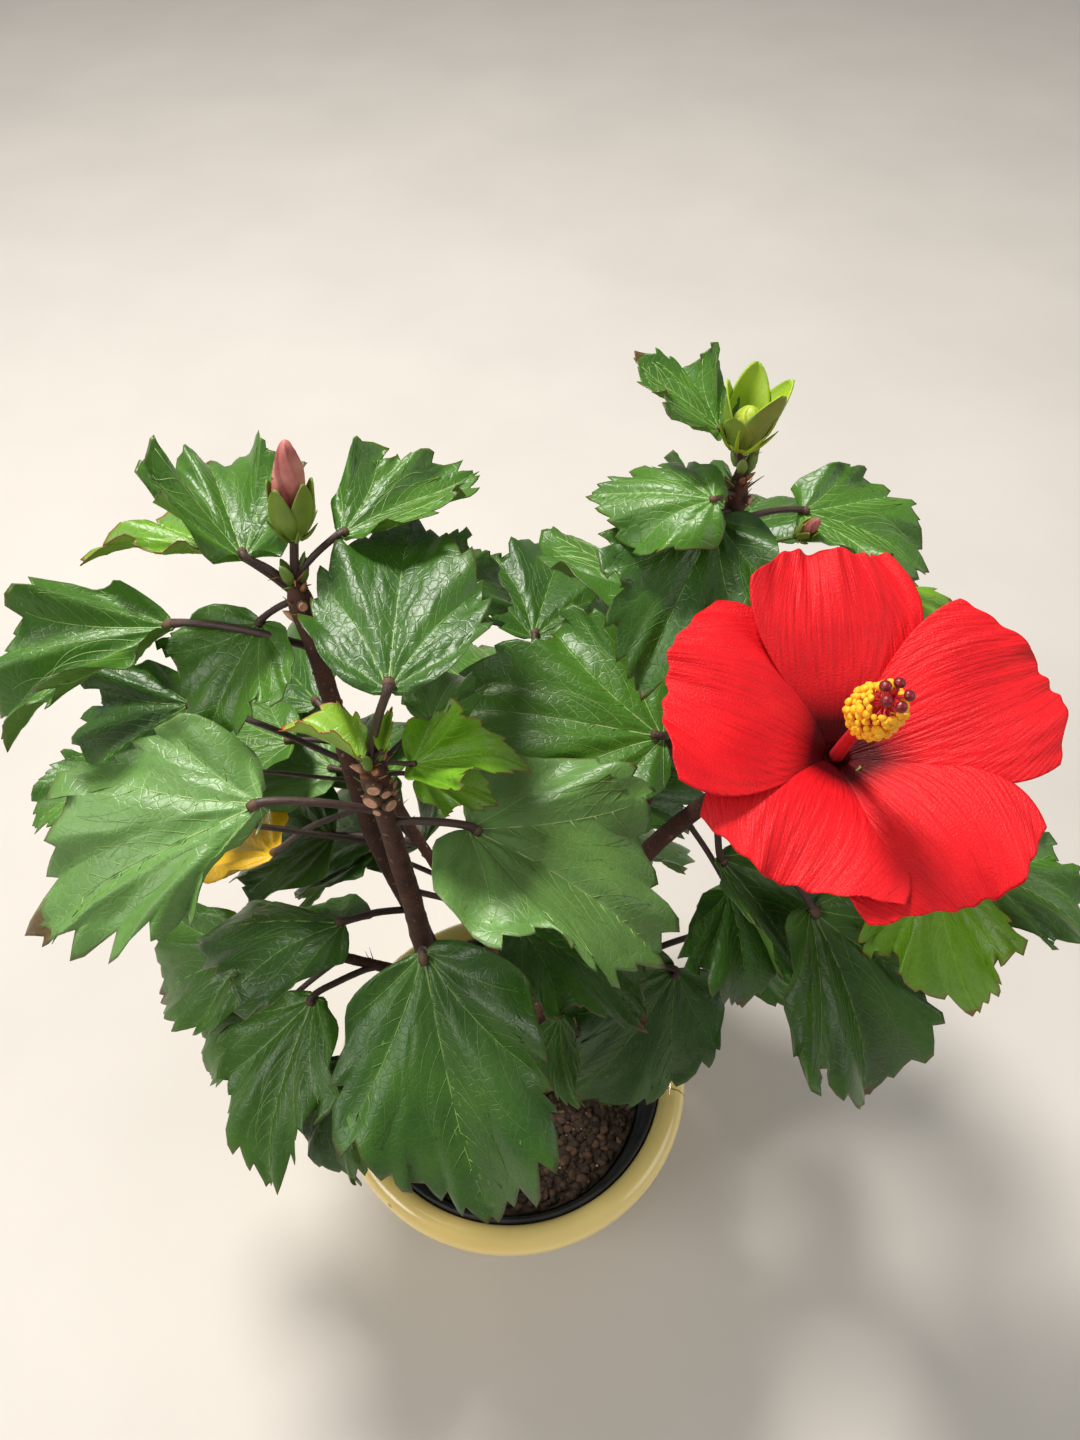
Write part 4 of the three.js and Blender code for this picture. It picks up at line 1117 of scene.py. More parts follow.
class Nodes:
    """Adds and joins the nodes of one tree."""

    def __init__(self, tree):
        self.tree = tree

    def add(self, kind, inputs=None, **settings):
        node = self.tree.nodes.new(kind)
        for name, value in settings.items():
            setattr(node, name, value)
        for socket, value in (inputs or {}).items():
            if isinstance(value, bpy.types.NodeSocket):
                self.tree.links.new(value, node.inputs[socket])
            else:
                node.inputs[socket].default_value = value
        return node

    def mix(self, factor, first, second, how="MIX"):
        node = self.add(
            "ShaderNodeMix", {0: factor, MIX_A: first, MIX_B: second}, data_type="RGBA", blend_type=how
        )
        return node.outputs[MIX_COLOUR]

    def math(self, how, first, second=0.0):
        return self.add("ShaderNodeMath", {0: first, 1: second}, operation=how).outputs[0]

    def ramp(self, value, low, high, out_low=0.0, out_high=1.0):
        inputs = {"Value": value, "From Min": low, "From Max": high, "To Min": out_low, "To Max": out_high}
        return self.add("ShaderNodeMapRange", inputs).outputs["Result"]

    def noise(self, place, scale, detail=2.0):
        inputs = {"Vector": place, "Scale": scale, "Detail": detail}
        return self.add("ShaderNodeTexNoise", inputs).outputs["Fac"]

    def cells(self, place, scale, feature="F1"):
        return self.add("ShaderNodeTexVoronoi", {"Vector": place, "Scale": scale}, feature=feature)

    def flat_map(self):
        return self.add("ShaderNodeUVMap", uv_map="Map").outputs["UV"]

    def drawn_out(self, place, scales):
        return self.add("ShaderNodeMapping", {"Vector": place, "Scale": scales}).outputs["Vector"]

    def mask(self, name):
        return self.add("ShaderNodeAttribute", attribute_name=name).outputs["Fac"]

    def scaled(self, vector, scale):
        node = self.add("ShaderNodeVectorMath", {0: vector, "Scale": scale}, operation="SCALE")
        return node.outputs["Vector"]

    def patches(self, place, colour, second, scale, spread=0.2):
        """Two colours in soft patches."""
        return self.add("ShaderNodeGroup", {
            "Coordinates": place, "Colour": opaque(colour), "Second colour": opaque(second),
            "Scale": scale, "Spread": spread,
        }, node_tree=mottle_group())

    def grain(self, place, scale, strength, distance=0.0003, height=0.0):
        """The normal of a fine grain over a height."""
        return self.add("ShaderNodeGroup", {
            "Coordinates": place, "Scale": scale, "Strength": strength,
            "Distance": distance, "Height": height,
        }, node_tree=grain_group()).outputs["Normal"]


def new_group(name, kind, inputs, outputs):
    """A node group with named sockets, given as name, type and default."""
    tree = bpy.data.node_groups.new(name, kind)
    for label, socket, default in inputs:
        made = tree.interface.new_socket(label, in_out="INPUT", socket_type=socket)
        if default is not None:
            made.default_value = default
    for label, socket in outputs:
        tree.interface.new_socket(label, in_out="OUTPUT", socket_type=socket)
    nodes = Nodes(tree)
    return tree, nodes, nodes.add("NodeGroupInput").outputs, nodes.add("NodeGroupOutput")


@cache
def mottle_group():
    """Blends two colours in soft patches."""
    tree, nodes, given, result = new_group(
        "Mottle",
        "ShaderNodeTree",
        [
            ("Coordinates", "NodeSocketVector", None),
            ("Colour", "NodeSocketColor", (0.5, 0.5, 0.5, 1)),
            ("Second colour", "NodeSocketColor", (0.2, 0.2, 0.2, 1)),
            ("Scale", "NodeSocketFloat", 40.0),
            ("Detail", "NodeSocketFloat", 4.0),
            ("Spread", "NodeSocketFloat", 0.2),
        ],
        [("Colour", "NodeSocketColor"), ("Mask", "NodeSocketFloat")],
    )
    noise = nodes.noise(given["Coordinates"], given["Scale"], given["Detail"])
    low = nodes.math("SUBTRACT", 0.5, given["Spread"])
    high = nodes.math("ADD", 0.5, given["Spread"])
    mask = nodes.ramp(noise, low, high)
    colour = nodes.mix(mask, given["Colour"], given["Second colour"])
    nodes.tree.links.new(colour, result.inputs["Colour"])
    nodes.tree.links.new(mask, result.inputs["Mask"])
    return tree


@cache
def grain_group():
    """A normal with the grain of fine noise over a given height."""
    tree, nodes, given, result = new_group(
        "Grain",
        "ShaderNodeTree",
        [
            ("Coordinates", "NodeSocketVector", None),
            ("Scale", "NodeSocketFloat", 300.0),
            ("Detail", "NodeSocketFloat", 3.0),
            ("Strength", "NodeSocketFloat", 0.3),
            ("Distance", "NodeSocketFloat", 0.0003),
            ("Height", "NodeSocketFloat", 0.0),
        ],
        [("Normal", "NodeSocketVector")],
    )
    noise = nodes.noise(given["Coordinates"], given["Scale"], given["Detail"])
    height = nodes.math("ADD", noise, given["Height"])
    bump = nodes.add(
        "ShaderNodeBump",
        {"Strength": given["Strength"], "Distance": given["Distance"], "Height": height},
    )
    nodes.tree.links.new(bump.outputs["Normal"], result.inputs["Normal"])
    return tree


def opaque(colour):
    return (*colour, 1)


def new_material(name, roughness, **sockets):
    """A material with its nodes, its shader and its object coordinates."""
    material = bpy.data.materials.new(name)
    material.use_nodes = True
    nodes = Nodes(material.node_tree)
    shader = material.node_tree.nodes["Principled BSDF"]
    shader.inputs["Roughness"].default_value = roughness
    for socket, value in sockets.items():
        shader.inputs[socket.replace("_", " ")].default_value = value
    place = nodes.add("ShaderNodeTexCoord").outputs["Object"]
    return material, nodes, shader, place


def finish_material(nodes, shader, colour, normal):
    nodes.tree.links.new(colour, shader.inputs["Base Color"])
    nodes.tree.links.new(normal, shader.inputs["Normal"])


def mottled(name, colour, second, scale, grain, roughness, strength=0.3, spread=0.2, **sockets):
    """A plain natural surface: two colours in patches and a fine grain."""
    material, nodes, shader, place = new_material(name, roughness, **sockets)
    patches = nodes.patches(place, colour, second, scale, spread)
    finish_material(nodes, shader, patches.outputs["Colour"], nodes.grain(place, grain, strength))
    return material


def leaf_material(kind, underside):
    """A glossy blade: net of fine veins, paler along the main veins, with a thin bronzed edge."""
    # For the deep, mid and sunlit kinds these tones are painted shade, painted half light and painted
    # sunlight.
    colour, second = LEAF_COLOURS[kind]
    if underside:
        colour = UNDERSIDES[kind]
        second = tuple(UNDERSIDE_SHADE * c for c in colour)
    name = f"leaf {kind} {'underside' if underside else 'top'}"
    material, nodes, shader, place = new_material(name, 0.5 if underside else 0.4)
    patches = nodes.patches(place, colour, second, 48.0, 0.16)
    flat = nodes.flat_map()
    panel = nodes.ramp(nodes.cells(flat, 32.0, "DISTANCE_TO_EDGE").outputs["Distance"], 0.0, 0.1)
    rim = nodes.mask("rim")
    pale = opaque(tuple(min(1, 1.6 * c + 0.01) for c in second))
    tint = nodes.mix(nodes.math("MULTIPLY", nodes.mask("vein"), 0.25), patches.outputs["Colour"], pale)
    netted = nodes.mix(nodes.ramp(panel, 0, 1, 0.14, 0), tint, pale)
    bronzed = nodes.ramp(rim, EDGE_FROM.get(kind, EDGE_START), 1, 0, 0.9)
    if kind not in EDGE_FROM:
        bronzed = nodes.math("MULTIPLY", bronzed, patches.outputs["Mask"])
    bronzed = nodes.math("MAXIMUM", bronzed, nodes.ramp(rim, 1.2, 1.8, 0, 0.95))
    edged = nodes.mix(bronzed, netted, opaque(EDGE_COLOURS.get(kind, EDGE_COLOUR)))
    normal = nodes.grain(flat, 70.0, 0.22, 0.0004, nodes.math("MULTIPLY", panel, 0.9))
    finish_material(nodes, shader, edged, normal)
    return material


@cache
def leaf_materials():
    """Each kind's top and underside in turn; the deep, mid and sunlit kinds are one green in painted shade,
    painted half light and painted sunlight.
    """
    return [leaf_material(kind, underside) for kind in LEAF_KINDS_AND_LIGHTS for underside in (False, True)]


@cache
def vein_materials():
    return [
        # The first, darker branch vein is the painted shade of the deep kind's veins; the pale vein adds
        # painted light for the mid and sunlit kinds on top of the veins' own paleness.
        mottled("branch vein in painted shade", (0.12, 0.24, 0.045), (0.085, 0.18, 0.032), 200, 900, 0.45),
        mottled("vein of a young leaf", (0.30, 0.46, 0.07), (0.22, 0.38, 0.05), 200, 900, 0.45),
        mottled("vein of a yellow leaf", (0.75, 0.55, 0.08), (0.65, 0.45, 0.05), 200, 900, 0.45),
        mottled("vein", (0.23, 0.36, 0.09), (0.17, 0.29, 0.06), 200, 900, 0.45),
        mottled("pale vein", (0.38, 0.49, 0.20), (0.28, 0.40, 0.14), 200, 900, 0.45),
    ]


def streaked(name, colour, second, pale):
    """A stalk's skin: fine streaks along it and pale dots."""
    material, nodes, shader, _ = new_material(name, 0.5)
    flat = nodes.flat_map()
    drawn = nodes.drawn_out(flat, (420.0, 16.0, 1.0))
    patches = nodes.patches(drawn, colour, second, 1.0, 0.14)
    dots = nodes.cells(flat, 105.0).outputs["Distance"]
    tint = nodes.mix(nodes.ramp(dots, 0.1, 0.2, 0.8, 0), patches.outputs["Colour"], opaque(pale))
    finish_material(nodes, shader, tint, nodes.grain(drawn, 1.0, 0.4, 0.0004))
    return material


@cache
def stalk_materials():
    return [
        streaked("leaf stalk", (0.034, 0.014, 0.013), (0.075, 0.040, 0.028), (0.16, 0.10, 0.07)),
        mottled("joint of a stalk", (0.13, 0.075, 0.035), (0.09, 0.045, 0.025), 500, 1500, 0.7),
        streaked("green shoot", (0.12, 0.21, 0.03), (0.17, 0.26, 0.04), (0.25, 0.33, 0.1)),
        mottled("cut wood", (0.66, 0.38, 0.25), (0.46, 0.22, 0.14), 700, 2200, 0.8, strength=0.6),
        mottled("dry husk", (0.34, 0.15, 0.06), (0.20, 0.075, 0.03), 500, 1500, 0.6),
    ]


def bark_material(colour):
    """Brown bark with paler flecks and fine cracks."""
    material, nodes, shader, place = new_material("bark", 0.78)
    patches = nodes.patches(place, colour, tuple(2.1 * c for c in colour), 160.0, 0.14)
    fleck = nodes.ramp(nodes.cells(place, 620.0).outputs["Distance"], 0.08, 0.17, 1.0, 0.0)
    shown = nodes.math("MULTIPLY", fleck, 0.7)
    tint = nodes.mix(shown, patches.outputs["Colour"], opaque((0.26, 0.17, 0.11)))
    height = nodes.math("MULTIPLY", fleck, 0.8)
    finish_material(nodes, shader, tint, nodes.grain(place, 700.0, 0.55, 0.0005, height))
    return material


def petal_material(name, colour, deep, throat):
    """A crinkled petal: fine ribs along it, darker in their grooves and towards the throat, with a soft
    sheen. The darker grooves are partly the petal's own veining and partly painted shade, and the dark throat
    is partly the bloom's own dark eye and partly painted shade.
    """
    material, nodes, shader, place = new_material(name, 0.4, Specular_IOR_Level=0.22)
    patches = nodes.patches(place, colour, deep, 60.0, 0.22)
    flat = nodes.flat_map()
    rib = nodes.noise(nodes.drawn_out(flat, (110.0, 5.0, 1.0)), 1.0, 5.0)
    # Darker where the ribs sink: partly the petal's own veining and partly painted shade in the grooves.
    lined = nodes.mix(nodes.ramp(rib, 0.38, 0.46, 0.65, 0.0), patches.outputs["Colour"], opaque(deep))
    # The throat's dark tint: partly the bloom's own dark eye and partly painted shade in the throat.
    tint = nodes.mix(nodes.mask("vein"), lined, opaque(throat))
    height = nodes.math("MULTIPLY", rib, 2.6)
    finish_material(nodes, shader, tint, nodes.grain(flat, 170.0, 0.6, 0.0005, height))
    return material


def glaze_material(colour):
    """Smooth glaze with soft tone patches, a few brown specks and a hairline over the rim."""
    material, nodes, shader, place = new_material("yellow glaze", 0.22, Coat_Weight=0.5, Coat_Roughness=0.12)
    warm = (colour[0] * 0.86, colour[1] * 0.76, colour[2] * 0.6)
    patches = nodes.patches(place, colour, warm, 16.0, 0.3)
    cells = nodes.cells(place, 62.0)
    shade = nodes.add("ShaderNodeSeparateColor", {"Color": cells.outputs["Color"]}).outputs[0]
    chosen = nodes.ramp(shade, 0.86, 0.88)
    spot = nodes.ramp(cells.outputs["Distance"], 0.05, 0.11, 1.0, 0.0)
    speck = nodes.math("MULTIPLY", chosen, spot)
    out = heading(CRACK_BEARING, 0)
    wander = nodes.ramp(nodes.noise(place, 260.0), 0, 1, -CRACK_WANDER, CRACK_WANDER)
    aside = nodes.add("ShaderNodeVectorMath", {0: place, 1: (-out[1], out[0], 0)}, operation="DOT_PRODUCT")
    ahead = nodes.add("ShaderNodeVectorMath", {0: place, 1: out}, operation="DOT_PRODUCT")
    off = nodes.math("ABSOLUTE", nodes.math("ADD", aside.outputs["Value"], wander))
    near = nodes.math("GREATER_THAN", ahead.outputs["Value"], (POT_RIM_RADIUS - POT_RIM_WIDTH) * MM)
    height = nodes.add("ShaderNodeSeparateXYZ", {"Vector": place}).outputs["Z"]
    high = nodes.math("GREATER_THAN", height, (POT_HEIGHT - POT_RIM_DEPTH) * MM)
    line = nodes.ramp(off, 0.0001, 0.0005, 0.9, 0)
    crack = nodes.math("MULTIPLY", line, nodes.math("MULTIPLY", near, high))
    dark = nodes.math("MAXIMUM", speck, crack)
    specked = nodes.mix(dark, patches.outputs["Colour"], opaque((0.16, 0.07, 0.02)))
    finish_material(nodes, shader, specked, nodes.grain(place, 110.0, 0.05, 0.0005))
    return material


# Geometry node trees
def start_tree(name, inputs):
    sockets = [("Geometry", "NodeSocketGeometry", None), *inputs]
    return new_group(name, "GeometryNodeTree", sockets, [("Geometry", "NodeSocketGeometry")])


def end_tree(nodes, geometry, lift, material, result):
    """Every tree ends with its relief, realized instances and their material."""
    offset = nodes.scaled(nodes.add("GeometryNodeInputNormal").outputs["Normal"], lift)
    moved = nodes.add("GeometryNodeSetPosition", {"Geometry": geometry, "Offset": offset})
    real = nodes.add("GeometryNodeRealizeInstances", {"Geometry": moved.outputs["Geometry"]})
    smooth = nodes.add("GeometryNodeSetShadeSmooth", {"Geometry": real.outputs["Geometry"]})
    finished = nodes.add(
        "GeometryNodeSetMaterial", {"Geometry": smooth.outputs["Geometry"], "Material": material}
    )
    nodes.tree.links.new(finished.outputs["Geometry"], result.inputs["Geometry"])


@cache
def scatter_tree():
    """A lumpy grain on every vertex, turned to the vertex's own facing."""
    tree, nodes, given, result = start_tree("Grains on points", [
        ("Smallest", "NodeSocketFloat", 0.001),
        ("Largest", "NodeSocketFloat", 0.002),
        ("Proportions", "NodeSocketVector", (1.0, 1.0, 1.0)),
        ("Rounds", "NodeSocketInt", 2),
        ("Lumps", "NodeSocketFloat", 0.0),
        ("Lump scale", "NodeSocketFloat", 500.0),
        ("Seed", "NodeSocketInt", 1),
        ("Material", "NodeSocketMaterial", None),
    ])
    points = nodes.add("GeometryNodeMeshToPoints", {"Mesh": given["Geometry"]})
    grain = nodes.add("GeometryNodeMeshIcoSphere", {"Radius": 1.0, "Subdivisions": given["Rounds"]})
    facing = nodes.add("GeometryNodeInputNamedAttribute", {"Name": "facing"}, data_type="FLOAT_VECTOR")
    aimed = nodes.add(
        "FunctionNodeAlignRotationToVector", {"Vector": facing.outputs["Attribute"]}, axis="Z"
    )
    turn = nodes.add(
        "FunctionNodeRandomValue", {2: 0.0, 3: FULL_TURN, "Seed": given["Seed"]}, data_type="FLOAT"
    )
    spun = nodes.add("ShaderNodeCombineXYZ", {"Z": turn.outputs[1]})
    turned = nodes.add(
        "FunctionNodeRotateRotation",
        {"Rotation": aimed.outputs["Rotation"], "Rotate By": spun.outputs["Vector"]},
        rotation_space="LOCAL",
    )
    size = nodes.add(
        "FunctionNodeRandomValue",
        {2: given["Smallest"], 3: given["Largest"], "Seed": nodes.math("ADD", given["Seed"], 7.0)},
        data_type="FLOAT",
    )
    scale = nodes.scaled(given["Proportions"], size.outputs[1])
    placed = nodes.add("GeometryNodeInstanceOnPoints", {
        "Points": points.outputs["Points"],
        "Instance": grain.outputs["Mesh"],
        "Rotation": turned.outputs["Rotation"],
        "Scale": scale,
    })
    real = nodes.add("GeometryNodeRealizeInstances", {"Geometry": placed.outputs["Instances"]})
    noise = nodes.add("ShaderNodeTexNoise", {"Scale": given["Lump scale"], "Detail": 1.0})
    lump = nodes.math("MULTIPLY", nodes.math("SUBTRACT", noise.outputs["Fac"], 0.5), given["Lumps"])
    end_tree(nodes, real.outputs["Geometry"], lump, given["Material"], result)
    return tree


def bark_tree():
    """Sweeps a round section with bark's ridges along each limb's line."""
    tree, nodes, given, result = start_tree("Bark on limbs", [
        ("Step", "NodeSocketFloat", 0.0015),
        ("Sides", "NodeSocketInt", 22),
        ("Relief", "NodeSocketFloat", 0.0004),
        ("Ridge scale", "NodeSocketFloat", 330.0),
        ("Knot scale", "NodeSocketFloat", 90.0),
        ("Material", "NodeSocketMaterial", None),
    ])
    line = nodes.add(
        "GeometryNodeResampleCurve", {"Curve": given["Geometry"], "Length": given["Step"]}, mode="LENGTH"
    )
    section = nodes.add("GeometryNodeCurvePrimitiveCircle", {"Resolution": given["Sides"], "Radius": 1.0})
    radius = nodes.add("GeometryNodeInputRadius").outputs["Radius"]
    swept = nodes.add("GeometryNodeCurveToMesh", {
        "Curve": line.outputs["Curve"],
        "Profile Curve": section.outputs["Curve"],
        "Scale": radius,
        "Fill Caps": True,
    })
    place = nodes.add("GeometryNodeInputPosition").outputs["Position"]
    stretched = nodes.add(
        "ShaderNodeVectorMath", {0: place, 1: (1.0, 1.0, 0.28)}, operation="MULTIPLY"
    ).outputs["Vector"]
    ridge = nodes.noise(stretched, given["Ridge scale"], 3.0)
    knot = nodes.noise(place, given["Knot scale"], 1.0)
    both = nodes.math("ADD", nodes.math("MULTIPLY", ridge, 1.0), nodes.math("MULTIPLY", knot, 1.2))
    lift = nodes.math("MULTIPLY", nodes.math("SUBTRACT", both, 1.1), given["Relief"])
    end_tree(nodes, swept.outputs["Mesh"], lift, given["Material"], result)
    return tree


def grown(source, name, tree, values):
    """The plain mesh that a tree makes of an object, as a new piece."""
    modifier = source.modifiers.new("Grow", "NODES")
    modifier.node_group = tree
    for item in tree.interface.items_tree:
        if item.in_out == "INPUT" and item.name in values:
            modifier[item.identifier] = values[item.name]
    evaluated = source.evaluated_get(bpy.context.evaluated_depsgraph_get())
    mesh = bpy.data.meshes.new_from_object(evaluated)
    source.modifiers.remove(modifier)
    bpy.data.objects.remove(source)
    mesh.name = name
    return new_object(name, mesh)


def point_cloud(points, facings):
    """A mesh of loose vertices in millimetres, each with its own facing."""
    mesh = bpy.data.meshes.new("points")
    mesh.from_pydata((np.asarray(points) * MM).tolist(), [], [])
    layer = mesh.attributes.new("facing", "FLOAT_VECTOR", "POINT")
    layer.data.foreach_set("vector", np.asarray(facings, np.float32).ravel())
    return new_object("points", mesh)


def scattered(name, points, facings, sizes, proportions, lumps, lump_scale, seed, finish):
    """A new piece of lumpy grains, one on each point, with sizes and lumps in millimetres."""
    return grown(point_cloud(points, facings), name, scatter_tree(), {
        "Smallest": sizes[0] * MM,
        "Largest": sizes[1] * MM,
        "Proportions": proportions,
        "Rounds": 2,
        "Lumps": lumps * MM,
        "Lump scale": lump_scale,
        "Seed": seed,
        "Material": finish,
    })


# The pots and the compost
def arc(centre, radii, start, end, steps):
    turns = np.radians(np.linspace(start, end, steps + 1))
    return [(centre[0] + radii[0] * math.cos(t), centre[1] + radii[1] * math.sin(t)) for t in turns]


def pot_profile():
    """Half the section of the pot, from the middle of its underside round to its inside."""
    inner = POT_RIM_RADIUS - POT_RIM_WIDTH
    low = POT_HEIGHT - POT_RIM_DEPTH
    half = (POT_RIM_WIDTH / 2, POT_RIM_DEPTH / 2)
    middle = (POT_RIM_RADIUS - half[0], POT_HEIGHT - half[1])
    return [
        (0, 0),
        (POT_FOOT_RADIUS - 12, 0),
        (POT_FOOT_RADIUS - 3, 0),
        *arc((POT_FOOT_RADIUS - 3, 3), (3, 3), -75, -10, 5),
        *[(blend(POT_FOOT_RADIUS + 0.2, inner + POT_WALL, t), blend(4, low - POT_NECK, t))
          for t in np.linspace(0.02, 1, 14)],
        *arc(middle, half, -80, 180, 34),
        (inner, low),
        (inner - 1, low - 5),
        (POT_FOOT_RADIUS - POT_WALL, POT_FLOOR),
        (0, POT_FLOOR),
    ]


def make_pot(settings):
    sketch = Sketch()
    add_turned(sketch, pot_profile(), (0, 0, 0), (0, 0, 1), POT_SIDES)
    piece = sketch.piece("glazed_pot", [glaze_material(settings.glaze)])
    settle(piece, "glaze", "pot")


def make_grower_pot(settings):
    step = GROWER_TOP - GROWER_LIP_DEPTH
    low = POT_FLOOR + SEAT_GAP
    profile = [
        (0, low),
        (GROWER_FOOT_RADIUS, low),
        (GROWER_RADIUS - GROWER_LIP - 0.3, step - 1.2),
        (GROWER_RADIUS - GROWER_LIP, step - 0.6),
        (GROWER_RADIUS - 0.6, step),
        (GROWER_RADIUS, step + 0.8),
        *arc((GROWER_RADIUS - GROWER_WALL / 2, GROWER_TOP - GROWER_WALL / 2),
             (GROWER_WALL / 2, GROWER_WALL / 2), 0, 180, 8),
        (GROWER_RADIUS - GROWER_WALL, step + 2.6),
        (GROWER_RADIUS - GROWER_LIP - GROWER_WALL, step + 0.4),
        (GROWER_RADIUS - GROWER_LIP - GROWER_WALL - 0.4, step - 1.5),
        (GROWER_FOOT_RADIUS - GROWER_WALL, low + GROWER_WALL),
        (0, low + GROWER_WALL),
    ]
    sketch = Sketch()
    add_turned(sketch, profile, (0, 0, 0), (0, 0, 1), POT_SIDES)
    black = mottled(
        "black plastic", settings.plastic, (0.03, 0.03, 0.032), 90.0, 900.0, 0.6, strength=0.12
    )
    settle(sketch.piece("plastic_pot", [black]), "black_plastic", "grower_pot")


def soil_height(x, y, random_waves):
    """The uneven top of the compost: low waves, and a slight fall towards the wall."""
    reach = np.hypot(x, y) / SOIL_RADIUS
    height = SOIL_TOP - SOIL_FALL * reach**3 - SOIL_DIP
    for direction, scale, phase, tall in random_waves:
        height = height + tall * np.sin((x * math.cos(direction) + y * math.sin(direction)) / scale + phase)
    return height


def make_compost(settings):
    """A rough bed of compost with chips of bark, crumbs and a few pale grains on it."""
    random = np.random.default_rng(11)
    waves = [
        (random.uniform(0, math.pi), scale, random.uniform(0, 6.3), SOIL_WAVE * scale)
        for scale in SOIL_WAVES
        for _ in range(2)
    ]
    rings = np.linspace(0, 1, SOIL_RINGS + 1)[1:]
    turns = np.linspace(0, 2 * math.pi, SOIL_SIDES, endpoint=False)
    reach, turn = np.meshgrid(rings * SOIL_RADIUS, turns, indexing="ij")
    x = reach * np.cos(turn)
    y = reach * np.sin(turn)
    rough = random.normal(0, SOIL_ROUGHNESS, x.shape)
    top = np.stack([x, y, soil_height(x, y, waves) + rough], axis=-1)
    foot = POT_FLOOR + SOIL_CLEARANCE
    wall_low = np.column_stack([x[-1] * SOIL_TAPER, y[-1] * SOIL_TAPER, np.full(SOIL_SIDES, foot)])
    hubs = [[0, 0, soil_height(0, 0, waves)], [0, 0, foot]]
    faces = [face[::-1] for face in closed_rings(SOIL_RINGS + 1, SOIL_SIDES)]
    sketch = Sketch()
    sketch.add(np.vstack([top.reshape(-1, 3), wall_low, hubs]), faces)
    earth = mottled(
        "compost", (0.024, 0.014, 0.008), (0.072, 0.044, 0.023), 260.0, 700.0, 0.85, strength=0.8, spread=0.12
    )
    settle(sketch.piece("compost_bed", [earth]), "compost", "soil")
    for index, (name, share, sizes, proportions, colours) in enumerate(GRAINS):
        count = int(settings.chips * share)
        reach = (SOIL_RADIUS - GRAIN_INSET) * np.sqrt(random.uniform(0, 1, count))
        turn = random.uniform(0, 2 * math.pi, count)
        x = reach * np.cos(turn)
        y = reach * np.sin(turn)
        clear = np.hypot(x - TRUNK_FOOT[0], y - TRUNK_FOOT[1]) > TRUNK_CLEARANCE
        x = x[clear]
        y = y[clear]
        points = np.stack([x, y, soil_height(x, y, waves) + 0.25 * sizes[0]], axis=1)
        leans = [random.normal(0, 0.5, len(x)) for _ in range(2)]
        facings = np.stack([*leans, np.ones(len(x))], axis=1)
        finish = mottled(name.replace("_", " "), *colours, 300.0, 900.0, 0.8, strength=0.6)
        piece = scattered(name, points, facings, sizes, proportions, 1.6, 520.0, 20 + index, finish)
        settle(piece, "compost")


# The wood
def limb_curves():
    return {name: Path(spec["path"]) for name, spec in LIMBS.items()}


def trunk_radius(share):
    flare = 1 + (TRUNK_FLARE - 1) * np.maximum(0, 1 - share / FLARE_SHARE) ** 2
    return blend(*TRUNK["radius"], share) * flare


def limb_radius(name, curve, share):
    """The taper of a limb, with a collar at its foot and a slight swelling at each leaf."""
    radius = blend(*LIMBS[name]["radius"], share) * blend(*BARK_BULK.get(name, PLAIN_BULK), share)
    away = share * curve.length
    collar = COLLAR_SWELL * np.exp(-((away - 3) / 5.0) ** 2)
    knots = KNOT_SWELL * np.maximum(0, np.sin(away / KNOT_GAP + len(name))) ** 6
    crown = CROWN_SWELL * np.exp(-(((away - CROWN_PLACE * curve.length) / 8) ** 2)) if name in CROWNS else 0
    return radius * (1 + collar + knots + crown)


def add_line(data, centres, radii):
    spline = data.splines.new("POLY")
    spline.points.add(len(centres) - 1)
    spline.points.foreach_set("co", np.column_stack([centres * MM, np.ones(len(centres))]).ravel())
    spline.points.foreach_set("radius", np.asarray(radii) * MM)


def make_wood(settings, curves):
    """The trunk, the boughs and the stems of the foliage as one piece with bark's relief."""
    data = bpy.data.curves.new("limb lines", "CURVE")
    data.dimensions = "3D"
    trunk = Path(TRUNK["path"])
    shares = np.linspace(0, 1, 40)
    add_line(data, trunk.at(shares), trunk_radius(shares))
    for name, curve in curves.items():
        shares = np.linspace(0, 1, 90)
        radii = limb_radius(name, curve, shares)
        radii[-len(TIP_TAPER):] *= TIP_TAPER
        add_line(data, curve.at(shares), radii)
    piece = grown(new_object("limb lines", data), "bark_limbs", bark_tree(), {
        "Step": 1.4 * MM,
        "Sides": 22,
        "Relief": settings.relief,
        "Ridge scale": 420.0,
        "Knot scale": 110.0,
        "Material": bark_material(settings.bark),
    })
    settle(piece, "bark", "trunk", *[f"bough_{name}" for name in curves])


def make_scars(curves):
    """Leaf scars and small warts along the limbs."""
    random = np.random.default_rng(5)
    points = []
    facings = []
    for name, curve in curves.items():
        count = int(curve.length / SCAR_GAP)
        for i in range(count):
            share = SCARS_FROM + SCARS_SPAN * i / count
            centre = curve.at(share)[0]
            ahead = curve.along(share)[0]
            side = unit(np.cross(ahead, WOOD_ASIDE))
            up = np.cross(ahead, side)
            out = out_at(2.4 * i + random.uniform(-0.4, 0.4), side, up)
            points.append(centre + out * (limb_radius(name, curve, share) - SCAR_SUNK))
            facings.append(out)
    finish = mottled(
        "leaf scars", (0.20, 0.11, 0.065), (0.10, 0.055, 0.035), 400.0, 1200.0, 0.75, strength=0.6
    )
    piece = scattered("leaf_scars", points, facings, (0.35, 1.15), (1.0, 0.7, 0.45), 0.35, 900.0, 4, finish)
    settle(piece, "bark")


